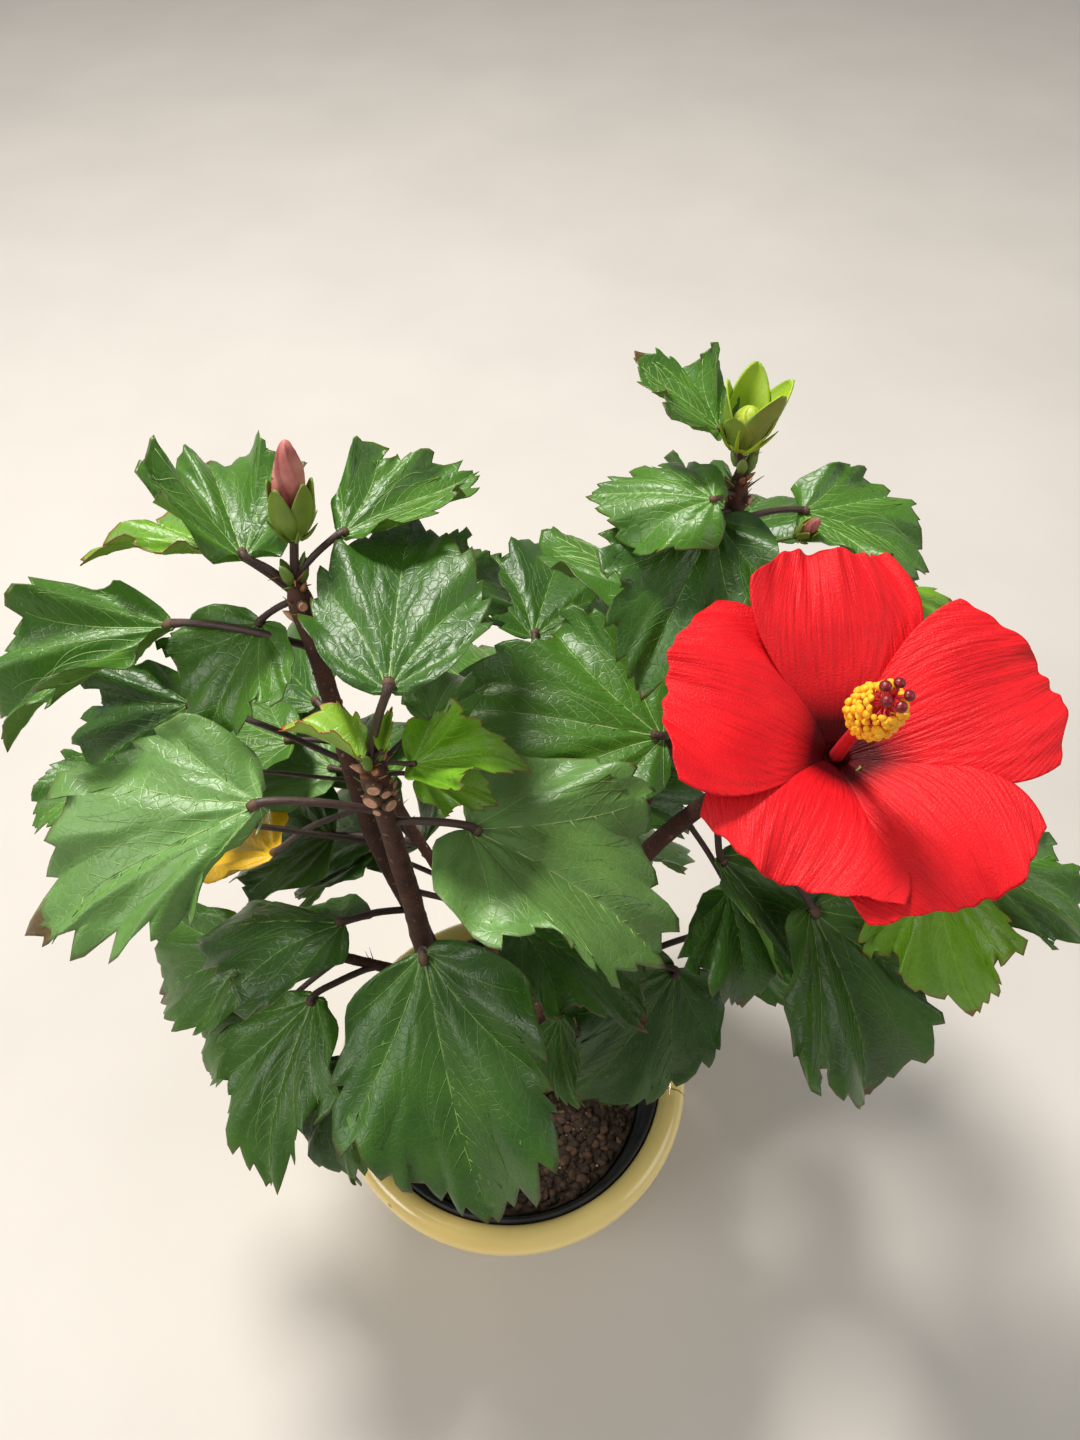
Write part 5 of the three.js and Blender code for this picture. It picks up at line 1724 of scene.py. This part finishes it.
# The foliage
def add_stalk(sketch, path, radius):
    """A leaf's stalk, thicker at its foot and swollen where the blade starts."""
    shares = np.linspace(0, 0.97, 15)
    away = shares * path.length
    swell = 0.5 * np.exp(-((away / 2.5) ** 2)) + 0.22 * np.exp(-(((away - path.length * 0.93) / 3) ** 2))
    add_tube(sketch, path.at(shares), radius * (0.9 + swell), STALK_SIDES)
    joint = np.linspace(0.9, 0.965, 5)
    add_tube(sketch, path.at(joint), radius * np.array(JOINT_RADII), STALK_SIDES, 1)


def add_stipules(sketch, foot, ahead, random):
    """Two or three thin dry spikes beside a stalk's foot."""
    for _ in range(random.integers(1, 4)):
        lean = unit(ahead + random.normal(0, 0.7, 3))
        length = random.uniform(3.5, 7.5)
        bow = random.normal(0, 0.8, 3)
        t = np.linspace(0, 1, 5)[:, None]
        line = foot + lean * length * t + bow * t**2
        add_tube(sketch, line, 0.42 * (1 - SPIKE_TAPER * t[:, 0]), 4, 1)


def make_crowns(curves):
    """The tops of the tallest stems: cut stubs, bud scales, dry spikes and curled tendrils."""
    random = np.random.default_rng(23)
    sketch = Sketch()
    for name, top in CROWNS.items():
        curve = curves[name]
        for up, out, size in top["stubs"]:
            ahead = curve.along(up)[0]
            out = unit(np.array(out) - ahead * np.dot(out, ahead))
            foot = curve.at(up)[0] + out * (limb_radius(name, curve, up) - 1.0)
            collar = [(0, 0), (size * 1.15, 0.2), (size * 1.12, 2.2), (size, 2.6), (0, 2.5)]
            add_turned(sketch, collar, foot, out, 22, 1)
            face = [(size * share, 2.75 + 0.16 * (k % 2)) for k, share in enumerate(STUB_RINGS)]
            add_turned(sketch, [(0, 2.3), (size * 0.92, 2.35), *face, (0, 2.9)], foot, out, 22, 3)
        end = curve.at(0.995)[0]
        ahead = curve.along(0.99)[0]
        for k in range(top["scales"]):
            lean = unit(ahead + 0.5 * heading(120 * k + 20, 0))
            foot = end + 2 * heading(120 * k + 20, 0) - ahead * 2 * (k // 3)
            size = random.uniform(1.3, 2.0)
            tall = random.uniform(5, 8)
            profile = [(0, -1), (size * 0.7, -0.3), (size, tall * 0.3), (size * 0.8, tall * 0.6)]
            add_turned(sketch, [*profile, (size * 0.35, tall * 0.88), (0, tall)], foot, lean, 12, 2)
        for k in range(top["husks"]):
            away = random.uniform(0.9, 0.98)
            side = heading(137.5 * k, random.uniform(-10, 30))
            foot = curve.at(away)[0] + side * limb_radius(name, curve, away) * 0.8
            size = random.uniform(0.9, 1.5)
            profile = [(0, -1), (size, 0), (size * 0.9, 1.6), (size * 0.4, 3.4), (0, 4.4)]
            add_turned(sketch, profile, foot, unit(side + 0.8 * ahead), 10, 3 if k % 4 == 0 else 4)
        for k in range(top["spikes"]):
            away = random.uniform(0.9, 0.995)
            out = unit(heading(random.uniform(0, 360), random.uniform(-10, 40)) + ahead * 0.7)
            foot = curve.at(away)[0] + out * limb_radius(name, curve, away) * 0.6
            t = np.linspace(0, 1, 6)[:, None]
            line = foot + out * random.uniform(4.5, 9) * t + random.normal(0, 1, 3) * t**2
            add_tube(sketch, line, 0.55 * (1 - SPIKE_TAPER * t[:, 0]), 5, 4 if k % 3 else 2)
        for k in range(top["tendrils"]):
            out = heading(top["towards"] + 40 * k, -20)
            foot = curve.at(0.9 - 0.02 * k)[0] + out * limb_radius(name, curve, 0.9) * 0.8
            t = np.linspace(0, 1, 14)
            curl = 5.5 * t * np.cos(4.2 * t), 5.5 * t * np.sin(4.2 * t)
            line = foot + np.outer(curl[0], out) - np.outer(curl[1], heading(top["towards"] + 90, 30))
            add_tube(sketch, line, 0.5 * (1 - 0.7 * t), 6, 4)
    settle(sketch.piece("stem_tops", stalk_materials()), "bark")


def surface(points, faces):
    return BVHTree.FromPolygons(points.tolist(), faces.tolist())


def limb_surface():
    """The surface of the trunk and boughs in millimetres, as the wood operator left it."""
    mesh = bpy.data.objects["bark_limbs"].data
    mesh.calc_loop_triangles()
    corners = np.array([tuple(triangle.vertices) for triangle in mesh.loop_triangles])
    return surface(np.array([tuple(vertex.co) for vertex in mesh.vertices]) / MM, corners)


def clear_leaf(numbers, turns, pattern, shape, lift, curve, stem_from, placed):
    """The stalk and blade of a leaf at the first turn that cuts nothing placed so far."""
    best = None
    quads = grid_quads(*lift.shape)
    for rise, dip, swing in turns:
        row = np.array(numbers) + (0, 0, swing, rise, 0, swing, dip, 0, 0, 0, 0)
        path, base = stalk_path(curve, stem_from, row)
        place = blade_frame(base, *row[4:], shape.folds)
        blade = surface(place(shape.bend(pattern.grid), lift)[0].reshape(-1, 3), quads)
        cuts = sum(len(blade.overlap(other)) for other in placed)
        if best is None or cuts < best[0]:
            best = (cuts, path, place, blade)
        if cuts == 0:
            break
    placed.append(best[3])
    return best[1:3]


def make_mass(name, curve, patterns, settings, placed):
    """The leaves, veins and stalks of one mass of foliage."""
    spec = LIMBS[name]
    stem_from = spec["bare"] + SEAT_GAP / curve.length
    rows = LEAVES[name] if name in LEAVES else fan_rows(name)
    random = np.random.default_rng(sum(map(ord, name)))
    blades = Sketch()
    veins = Sketch()
    stalks = Sketch()
    for index, (*numbers, kind, outline, curl) in enumerate(rows):
        pattern = patterns[outline]
        shape = LeafShape(curl, random, settings.ruffle)
        length = numbers[4]
        lift = shape.lift(pattern, length)
        turns = CLEARING_TURNS if name in FANS else LONE_TURN
        path, place = clear_leaf(numbers, turns, pattern, shape, lift, curve, stem_from, placed)
        finish = 2 * LEAF_KINDS_AND_LIGHTS.index(kind)
        shift = np.array([index * MAP_SHIFT[0], len(name) * MAP_SHIFT[1]])
        burnt = BURNT_TIP if index % 4 == 0 else 0
        add_blade(blades, pattern, shape, place, lift, length, settings.thickness / MM, finish, shift, burnt)
        add_veins(veins, pattern, shape, place, lift, length, VEIN_TONES[kind])
        add_stalk(stalks, path, next(radius for size, radius in STALK_RADII if length > size))
        foot = path.at(0)[0]
        add_stipules(stalks, foot, unit(curve.along(stem_from + (1 - stem_from) * numbers[0])[0]), random)
    settle(blades.piece(f"leaves_{name}", leaf_materials()), "leaf", f"foliage_{name}")
    settle(veins.piece(f"veins_{name}", vein_materials()), "leaf")
    settle(stalks.piece(f"stalks_{name}", stalk_materials()), "leaf")


# The bloom and the buds
def bloom_frame():
    facing = unit(BLOOM["facing"])
    across = unit(np.cross((0, 1, 0), facing))
    upward = np.cross(facing, across)
    return np.array(BLOOM["throat"], float), facing, across, upward


def petal_grid(bearing, length, half_width, ends, random):
    """The points, normals and marks of one petal, opened as its solid is."""
    throat, facing, across, upward = bloom_frame()
    out = out_at(math.radians(bearing), across, upward)
    side = np.cross(facing, out)
    rows = np.linspace(0, 1, PETAL_ROWS) ** 0.9
    along, t = np.meshgrid(rows, np.linspace(-1, 1, PETAL_COLUMNS), indexing="ij")
    s = along * (1 - PETAL_ROUNDING * np.abs(t) ** 3)
    end = Path([(place, share, 0) for place, share in zip(END_PLACES, ends)]).at(np.linspace(0, 1, 60))
    s = s * (1 + (np.interp(t, end[:, 0], end[:, 1]) - 1) * along**2)
    s = s * (1 + along**4 * (0.010 * np.sin(9 * t + bearing) + 0.008 * np.sin(23 * t + 2 * bearing)))
    radial = THROAT_RADIUS + length * (PETAL_OUT[0] * s + PETAL_OUT[1] * s**2)
    rise = length * (PETAL_RISE[0] * s + PETAL_RISE[1] * s**2)
    climb = (PETAL_RISE[0] + 2 * PETAL_RISE[1] * s) / (PETAL_OUT[0] + 2 * PETAL_OUT[1] * s)
    wide = PETAL_WIDTH
    half = half_width * (wide["foot"] + wide["swell"] * np.sin(wide["turn"] * s) ** wide["power"])
    twist = PETAL_TWIST * t * s
    ruffle = PETAL_RUFFLE * s**3 * np.sin(RUFFLE_WAVES * t + bearing)
    fine = s**6 * (0.75 * np.sin(13 * t + 3 * bearing) + 0.4 * np.sin(29 * t + bearing))
    ribs = PETAL_RIB * np.sin(44 * t + 5 * s) * np.minimum(1, 3 * s)
    waves = random.uniform(0, 6.3, 2)
    dents = PETAL_DENT * s**2 * np.sin(7 * s + 4 * t + waves[0]) * np.sin(5 * t + waves[1])
    points = throat + (
        np.multiply.outer(radial, out)
        + np.multiply.outer(rise + twist + ruffle + fine + ribs + dents, facing)
        + np.multiply.outer(half * t, side)
    )
    normals = facing - np.multiply.outer(climb, out)
    normals = normals / np.linalg.norm(normals, axis=-1)[..., None]
    # The throat mask, carried as the vein mask: darker towards the throat, partly the bloom's own dark eye
    # and partly painted shade.
    inner = np.clip((0.31 - s) / 0.19, 0, 1) ** 1.3
    fan = t * (0.25 + 0.75 * s) * 0.31
    marks = np.stack([fan, s * length / MAP_UNIT, inner, s**12], axis=-1).reshape(-1, 4)
    marks[:, :2] += (bearing * PETAL_SHIFT[0], bearing * PETAL_SHIFT[1])
    return points, normals, marks


def petal_materials(settings):
    red = tuple(settings.petal)
    deep = (red[0] * 0.74, red[1] * 0.5, red[2] * 0.7)
    return [
        # The throat colours of face and back: partly the bloom's own dark eye and partly painted shade.
        petal_material("petal face", red, deep, (0.070, 0.0006, 0.002)),
        petal_material("petal back", (0.70, 0.045, 0.05), (0.5, 0.02, 0.03), (0.25, 0.02, 0.02)),
    ]


def make_petals(settings):
    random = np.random.default_rng(9)
    sketch = Sketch()
    for bearing, length, half_width, ends in PETALS:
        points, normals, marks = petal_grid(bearing, length, half_width, ends, random)
        add_sheet(sketch, points, normals, settings.thickness / MM, [0, 1, 0], marks)
    settle(sketch.piece("petals", petal_materials(settings)), "petal", "bloom")


def add_calyx(sketch, foot, along, length, radius, flare, finish, sepals=EVEN_SEPALS, turned=0, bracts=7):
    """Five broad pointed sepals that cup round a bud, and thin bracts under them."""
    along = unit(along)
    side, up = frame_about(along)
    foot = np.asarray(foot, float)
    v, t = np.meshgrid(np.linspace(0, 1, 20), np.linspace(1, -1, 13), indexing="ij")
    for k, share in enumerate(sepals):
        wide = (0.78 + 0.24 * flare) * np.minimum(1, (1.02 - v) / 0.5) ** 0.75
        wide = wide * (0.75 + 0.25 * np.minimum(1, v / 0.3))
        a = 2 * math.pi * k / 5 + math.radians(turned) + wide * t
        high = v * share
        reach = 0.22 + 0.78 * np.sin(np.minimum(high * 3.2, math.pi / 2))
        reach = reach + flare * np.maximum(0, high - SEPAL_OPENS) ** 1.5
        reach = reach + SEPAL_OVERLAP * (k % 2) + SEPAL_BULGE * (1 - t**2) * (1 - v)
        reach = reach + SEPAL_WAVE * flare * np.sin(5 * v + 3 * t + k)
        outward = round_about(a, side, up)
        tall = length * high
        points = foot + np.multiply.outer(tall, along) + outward * (radius * reach)[..., None]
        marks = np.stack([t * 0.05, v * length / MAP_UNIT, 0 * v, 0 * v], axis=-1).reshape(-1, 4)
        add_sheet(sketch, points, outward, SEPAL_THICKNESS, [2, finish, finish], marks)
    for k in range(bracts):
        out = out_at(2 * math.pi * (k + 0.3) / bracts, side, up)
        t = np.linspace(0, 1, 7)[:, None]
        line = foot + out * (radius * 0.35 + radius * 0.95 * t**0.7) + along * length * 0.36 * t
        add_tube(sketch, line, 0.75 * (1 - SPIKE_TAPER * t[:, 0] ** 2), 6, finish)


def make_bloom_stalk():
    sketch = Sketch()
    path = Path(BLOOM["stalk"])
    shares = np.linspace(0, 1, 24)
    away = shares * path.length
    add_tube(sketch, path.at(shares), 1.35 + 0.5 * np.exp(-((away - 9) / 1.6) ** 2), 12, 0)
    throat, facing, _, _ = bloom_frame()
    foot = throat - facing * CALYX_LENGTH
    add_calyx(sketch, foot, facing, CALYX_LENGTH + 3, 6.4, 0.25, 2)
    settle(sketch.piece("bloom_stalk", stalk_materials()), "leaf")


def make_column(settings):
    """The bloom's column with its filaments, anthers and stigma pads."""
    throat, facing, across, upward = bloom_frame()
    along = unit(BLOOM["column"])
    random = np.random.default_rng(17)
    side = unit(np.cross(along, across))
    up = np.cross(along, side)
    red = mottled("column", (0.62, 0.02, 0.03), (0.45, 0.01, 0.02), 250.0, 800.0, 0.4)
    deep = mottled(
        "stigma pads", (0.22, 0.003, 0.008), (0.12, 0.002, 0.005), 900.0, 2600.0, 0.3, strength=0.4
    )
    sketch = Sketch()
    t = np.linspace(0, 1, 26)
    bow = COLUMN_BOW * np.sin(math.pi * t)
    centres = throat + np.outer(t * COLUMN_LENGTH, along) + np.outer(bow, side)
    add_tube(sketch, centres, blend(2.3, 1.25, t), 14, 0)
    socket = [(0, -7), (3.2, -6.5), (4.2, -3), (4.2, 0.6), (3.2, 0.2), (2, -1.5), (0, -2)]
    add_turned(sketch, socket, throat, facing, 24, 2)
    points = []
    facings = []
    for k in range(ANTHERS):
        share = ANTHERS_FROM + ANTHERS_SPAN * ((k + 0.5) / ANTHERS)
        out = out_at(GOLDEN_TURN * k, side, up)
        foot = throat + along * COLUMN_LENGTH * share + side * COLUMN_BOW * math.sin(math.pi * share)
        reach = 3.6 + 3.4 * math.sin(math.pi * min(1, (share - 0.5) / 0.46)) * random.uniform(0.75, 1.1)
        tip = foot + out * reach + along * random.uniform(0.4, 2.6)
        bend = blend(foot, tip, 0.5) + along * 0.5
        add_tube(sketch, Path([foot, bend, tip]).at(np.linspace(0, 1, 5)), 0.24, 5, 0)
        points.append(tip)
        facings.append(unit(out + along * 0.4))
    for k in range(5):
        out = out_at(2 * math.pi * k / 5, across, upward)
        tip = throat + along * COLUMN_LENGTH
        end = tip + out * 3.4 + along * 4
        middle = blend(tip, end, 0.5) + along * 0.7
        add_tube(sketch, Path([tip - along, middle, end]).at(np.linspace(0, 1, 7)), 0.55, 7, 0)
        add_turned(sketch, arc((0, 0), (1.6, 1.3), -90, 90, 8), end, unit(along + out * 0.5), 14, 1)
    # The cup at the throat is near black: partly the bloom's own dark eye and partly painted shade in the
    # hollow.
    eye_and_shade = mottled(
        "throat", (0.03, 0.001, 0.001), (0.015, 0.0, 0.0), 300.0, 900.0, 0.9, Specular_IOR_Level=0.05
    )
    settle(sketch.piece("column", [red, deep, eye_and_shade]), "petal")
    yellow = mottled("pollen", tuple(settings.pollen), (0.95, 0.52, 0.01), 500.0, 2200.0, 0.6, strength=0.8)
    piece = scattered("anthers", points, facings, (1.0, 1.65), (1.0, 0.8, 0.75), 0.5, 800.0, 6, yellow)
    settle(piece, "petal")


def bud_petals(sketch, foot, along, radius, length, finish, turns=1.6):
    """Petals rolled round each other to a point: five overlapping spiral folds."""
    side, up = frame_about(along)
    v, a = np.meshgrid(np.linspace(0, 1, 30), np.linspace(2 * math.pi, 0, 81), indexing="ij")
    profile = np.sqrt(np.clip(1 - np.abs(2 * v - 1) ** 3.2, 0, 1)) * (1 - 0.45 * v**2.5) + 0.02
    fold = (a / (2 * math.pi) * 5 + turns * v) % 1
    r = radius * profile * (0.78 + 0.28 * fold**1.5)
    outward = round_about(a, side, up)
    points = np.asarray(foot) + length * np.multiply.outer(v, along) + outward * r[..., None]
    marks = np.stack([fold * 0.1, v * length / MAP_UNIT, 0 * a, 0 * a], axis=-1).reshape(-1, 4)
    add_sheet(sketch, points, outward, FOLD_THICKNESS, [finish, finish, finish], marks)


def make_buds(curves):
    sketch = Sketch()
    greens = Sketch()
    for name, bud in BUDS.items():
        foot = np.array(bud["foot"], float)
        along = heading(bud["bearing"], bud["rise"])
        start = np.array(bud["from"], float) if "from" in bud else curves[name].at(0.99)[0]
        t = np.linspace(0, 1, 8)[:, None]
        add_tube(greens, blend(start, foot + along * 1.5, t), bud["stalk"], 9, bud["bark"])
        add_turned(greens, [(0, -0.5), (bud["radius"] * 0.4, 0), (bud["radius"] * 0.55, 1.4), (0, 2.4)],
                   foot, along, 14, bud["green"])
        add_calyx(greens, foot, along, bud["length"] * bud["cup"], bud["radius"], bud["flare"], bud["green"],
                  bud.get("sepals", EVEN_SEPALS), bud.get("turned", 0))
        petals = bud["length"] * bud["petals"]
        bud_petals(sketch, foot + along * 2, along, bud["radius"] * bud["slim"], petals, bud["kind"])
    pink = mottled("bud petals", (0.62, 0.24, 0.20), (0.42, 0.10, 0.09), 130, 900, 0.5, spread=0.12)
    lime = mottled("green bud petals", (0.42, 0.50, 0.04), (0.30, 0.40, 0.03), 160, 900, 0.5)
    settle(sketch.piece("bud_petals", [pink, lime]), "petal")
    sepal = mottled("sepal", (0.13, 0.21, 0.02), (0.20, 0.27, 0.03), 120, 900, 0.45)
    light = mottled("light sepal", (0.34, 0.47, 0.015), (0.25, 0.40, 0.015), 120, 900, 0.45)
    settle(greens.piece("bud_cups", [stalk_materials()[0], stalk_materials()[2], sepal, light]), "leaf")


# The stage
def add_light(name, place, size, power, colour):
    data = bpy.data.lights.new(name, "AREA")
    data.shape = "DISK"
    data.size = size
    data.energy = power
    data.color = colour
    lamp = new_object(name, data)
    lamp.location = place
    away = np.array(place) - LIGHT_AIM
    lamp.rotation_mode = "QUATERNION"
    lamp.rotation_quaternion = Vector(away).to_track_quat("Z", "Y")


def make_stage(settings):
    mesh = bpy.data.meshes.new("floor")
    corners = [(x * FLOOR_REACH, y * FLOOR_REACH, 0) for x, y in ((-1, -1), (1, -1), (1, 1), (-1, 1))]
    mesh.from_pydata(corners, [], [(0, 1, 2, 3)])
    floor = new_object("floor", mesh)
    pale = mottled("pale floor", settings.floor, tuple(0.93 * c for c in settings.floor), 6.0, 400.0, 0.85,
                   strength=0.08)
    mesh.materials.append(pale)
    for name, light in LIGHTS.items():
        add_light(name, *light)
    world = bpy.data.worlds.new("studio")
    world.use_nodes = True
    sky = world.node_tree.nodes["Background"]
    sky.inputs["Color"].default_value = SKY_COLOUR
    sky.inputs["Strength"].default_value = SKY_STRENGTH
    bpy.context.scene.world = world
    camera = new_object("camera", bpy.data.cameras.new("camera"))
    camera.data.lens = CAMERA_LENS
    camera.data.sensor_width = 36
    camera.data.clip_start = 0.01
    camera.location = CAMERA_PLACE
    camera.rotation_euler = (math.radians(CAMERA_TILT), 0, 0)
    bpy.context.scene.camera = camera
    bpy.context.scene.view_settings.view_transform = "Standard"


class HIBISCUS_OT_pot(bpy.types.Operator):
    """Turns the yellow glazed pot"""

    bl_idname = "hibiscus.pot"
    bl_label = "Glazed pot"

    def execute(self, context):
        make_pot(context.scene.hibiscus_pot)
        return {"FINISHED"}


class HIBISCUS_OT_grower_pot(bpy.types.Operator):
    """Turns the black pot inside it"""

    bl_idname = "hibiscus.grower_pot"
    bl_label = "Grower's pot"

    def execute(self, context):
        make_grower_pot(context.scene.hibiscus_pot)
        return {"FINISHED"}


class HIBISCUS_OT_compost(bpy.types.Operator):
    """Lays the compost with its chips and crumbs"""

    bl_idname = "hibiscus.compost"
    bl_label = "Compost"

    def execute(self, context):
        make_compost(context.scene.hibiscus_pot)
        return {"FINISHED"}


class HIBISCUS_OT_wood(bpy.types.Operator):
    """Sweeps the trunk, boughs and stems, and sets their leaf scars"""

    bl_idname = "hibiscus.wood"
    bl_label = "Wood"

    def execute(self, context):
        curves = limb_curves()
        make_wood(context.scene.hibiscus_plant, curves)
        make_scars(curves)
        make_crowns(curves)
        return {"FINISHED"}


class HIBISCUS_OT_foliage(bpy.types.Operator):
    """Grows the leaves of every mass with their veins and stalks"""

    bl_idname = "hibiscus.foliage"
    bl_label = "Foliage"

    def execute(self, context):
        patterns = {name: LeafPattern(*halves) for name, halves in OUTLINES.items()}
        placed = [limb_surface()]
        for name, curve in limb_curves().items():
            make_mass(name, curve, patterns, context.scene.hibiscus_plant, placed)
        return {"FINISHED"}


class HIBISCUS_OT_bloom(bpy.types.Operator):
    """Opens the red bloom on its stalk"""

    bl_idname = "hibiscus.bloom"
    bl_label = "Bloom"

    def execute(self, context):
        make_petals(context.scene.hibiscus_bloom)
        make_bloom_stalk()
        make_column(context.scene.hibiscus_bloom)
        return {"FINISHED"}


class HIBISCUS_OT_buds(bpy.types.Operator):
    """Sets the closed buds on their stalks"""

    bl_idname = "hibiscus.buds"
    bl_label = "Buds"

    def execute(self, context):
        make_buds(limb_curves())
        return {"FINISHED"}


class HIBISCUS_OT_stage(bpy.types.Operator):
    """Lays the pale floor, the soft lights and the camera"""

    bl_idname = "hibiscus.stage"
    bl_label = "Stage"

    def execute(self, context):
        make_stage(context.scene.hibiscus_stage)
        return {"FINISHED"}


OPERATORS = [
    HIBISCUS_OT_pot,
    HIBISCUS_OT_grower_pot,
    HIBISCUS_OT_compost,
    HIBISCUS_OT_wood,
    HIBISCUS_OT_foliage,
    HIBISCUS_OT_bloom,
    HIBISCUS_OT_buds,
    HIBISCUS_OT_stage,
]
SETTINGS = {
    "hibiscus_pot": PotSettings,
    "hibiscus_plant": PlantSettings,
    "hibiscus_bloom": BloomSettings,
    "hibiscus_stage": StageSettings,
}


class HIBISCUS_PT_panel(bpy.types.Panel):
    """Lists the pieces of the shrub"""

    bl_idname = "HIBISCUS_PT_panel"
    bl_label = "Potted hibiscus"
    bl_space_type = "VIEW_3D"
    bl_region_type = "UI"
    bl_category = "Hibiscus"

    def draw(self, context):
        for operator in OPERATORS:
            self.layout.operator(operator.bl_idname)


def register():
    for settings in SETTINGS.values():
        bpy.utils.register_class(settings)
    for operator in OPERATORS:
        bpy.utils.register_class(operator)
    bpy.utils.register_class(HIBISCUS_PT_panel)
    for name, settings in SETTINGS.items():
        setattr(bpy.types.Scene, name, PointerProperty(type=settings))


def unregister():
    for name in SETTINGS:
        delattr(bpy.types.Scene, name)
    bpy.utils.unregister_class(HIBISCUS_PT_panel)
    for operator in reversed(OPERATORS):
        bpy.utils.unregister_class(operator)
    for settings in reversed(SETTINGS.values()):
        bpy.utils.unregister_class(settings)


def main():
    register()
    for operator in OPERATORS:
        group, call = operator.bl_idname.split(".")
        getattr(getattr(bpy.ops, group), call)()
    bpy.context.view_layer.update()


if __name__ == "__main__":
    main()
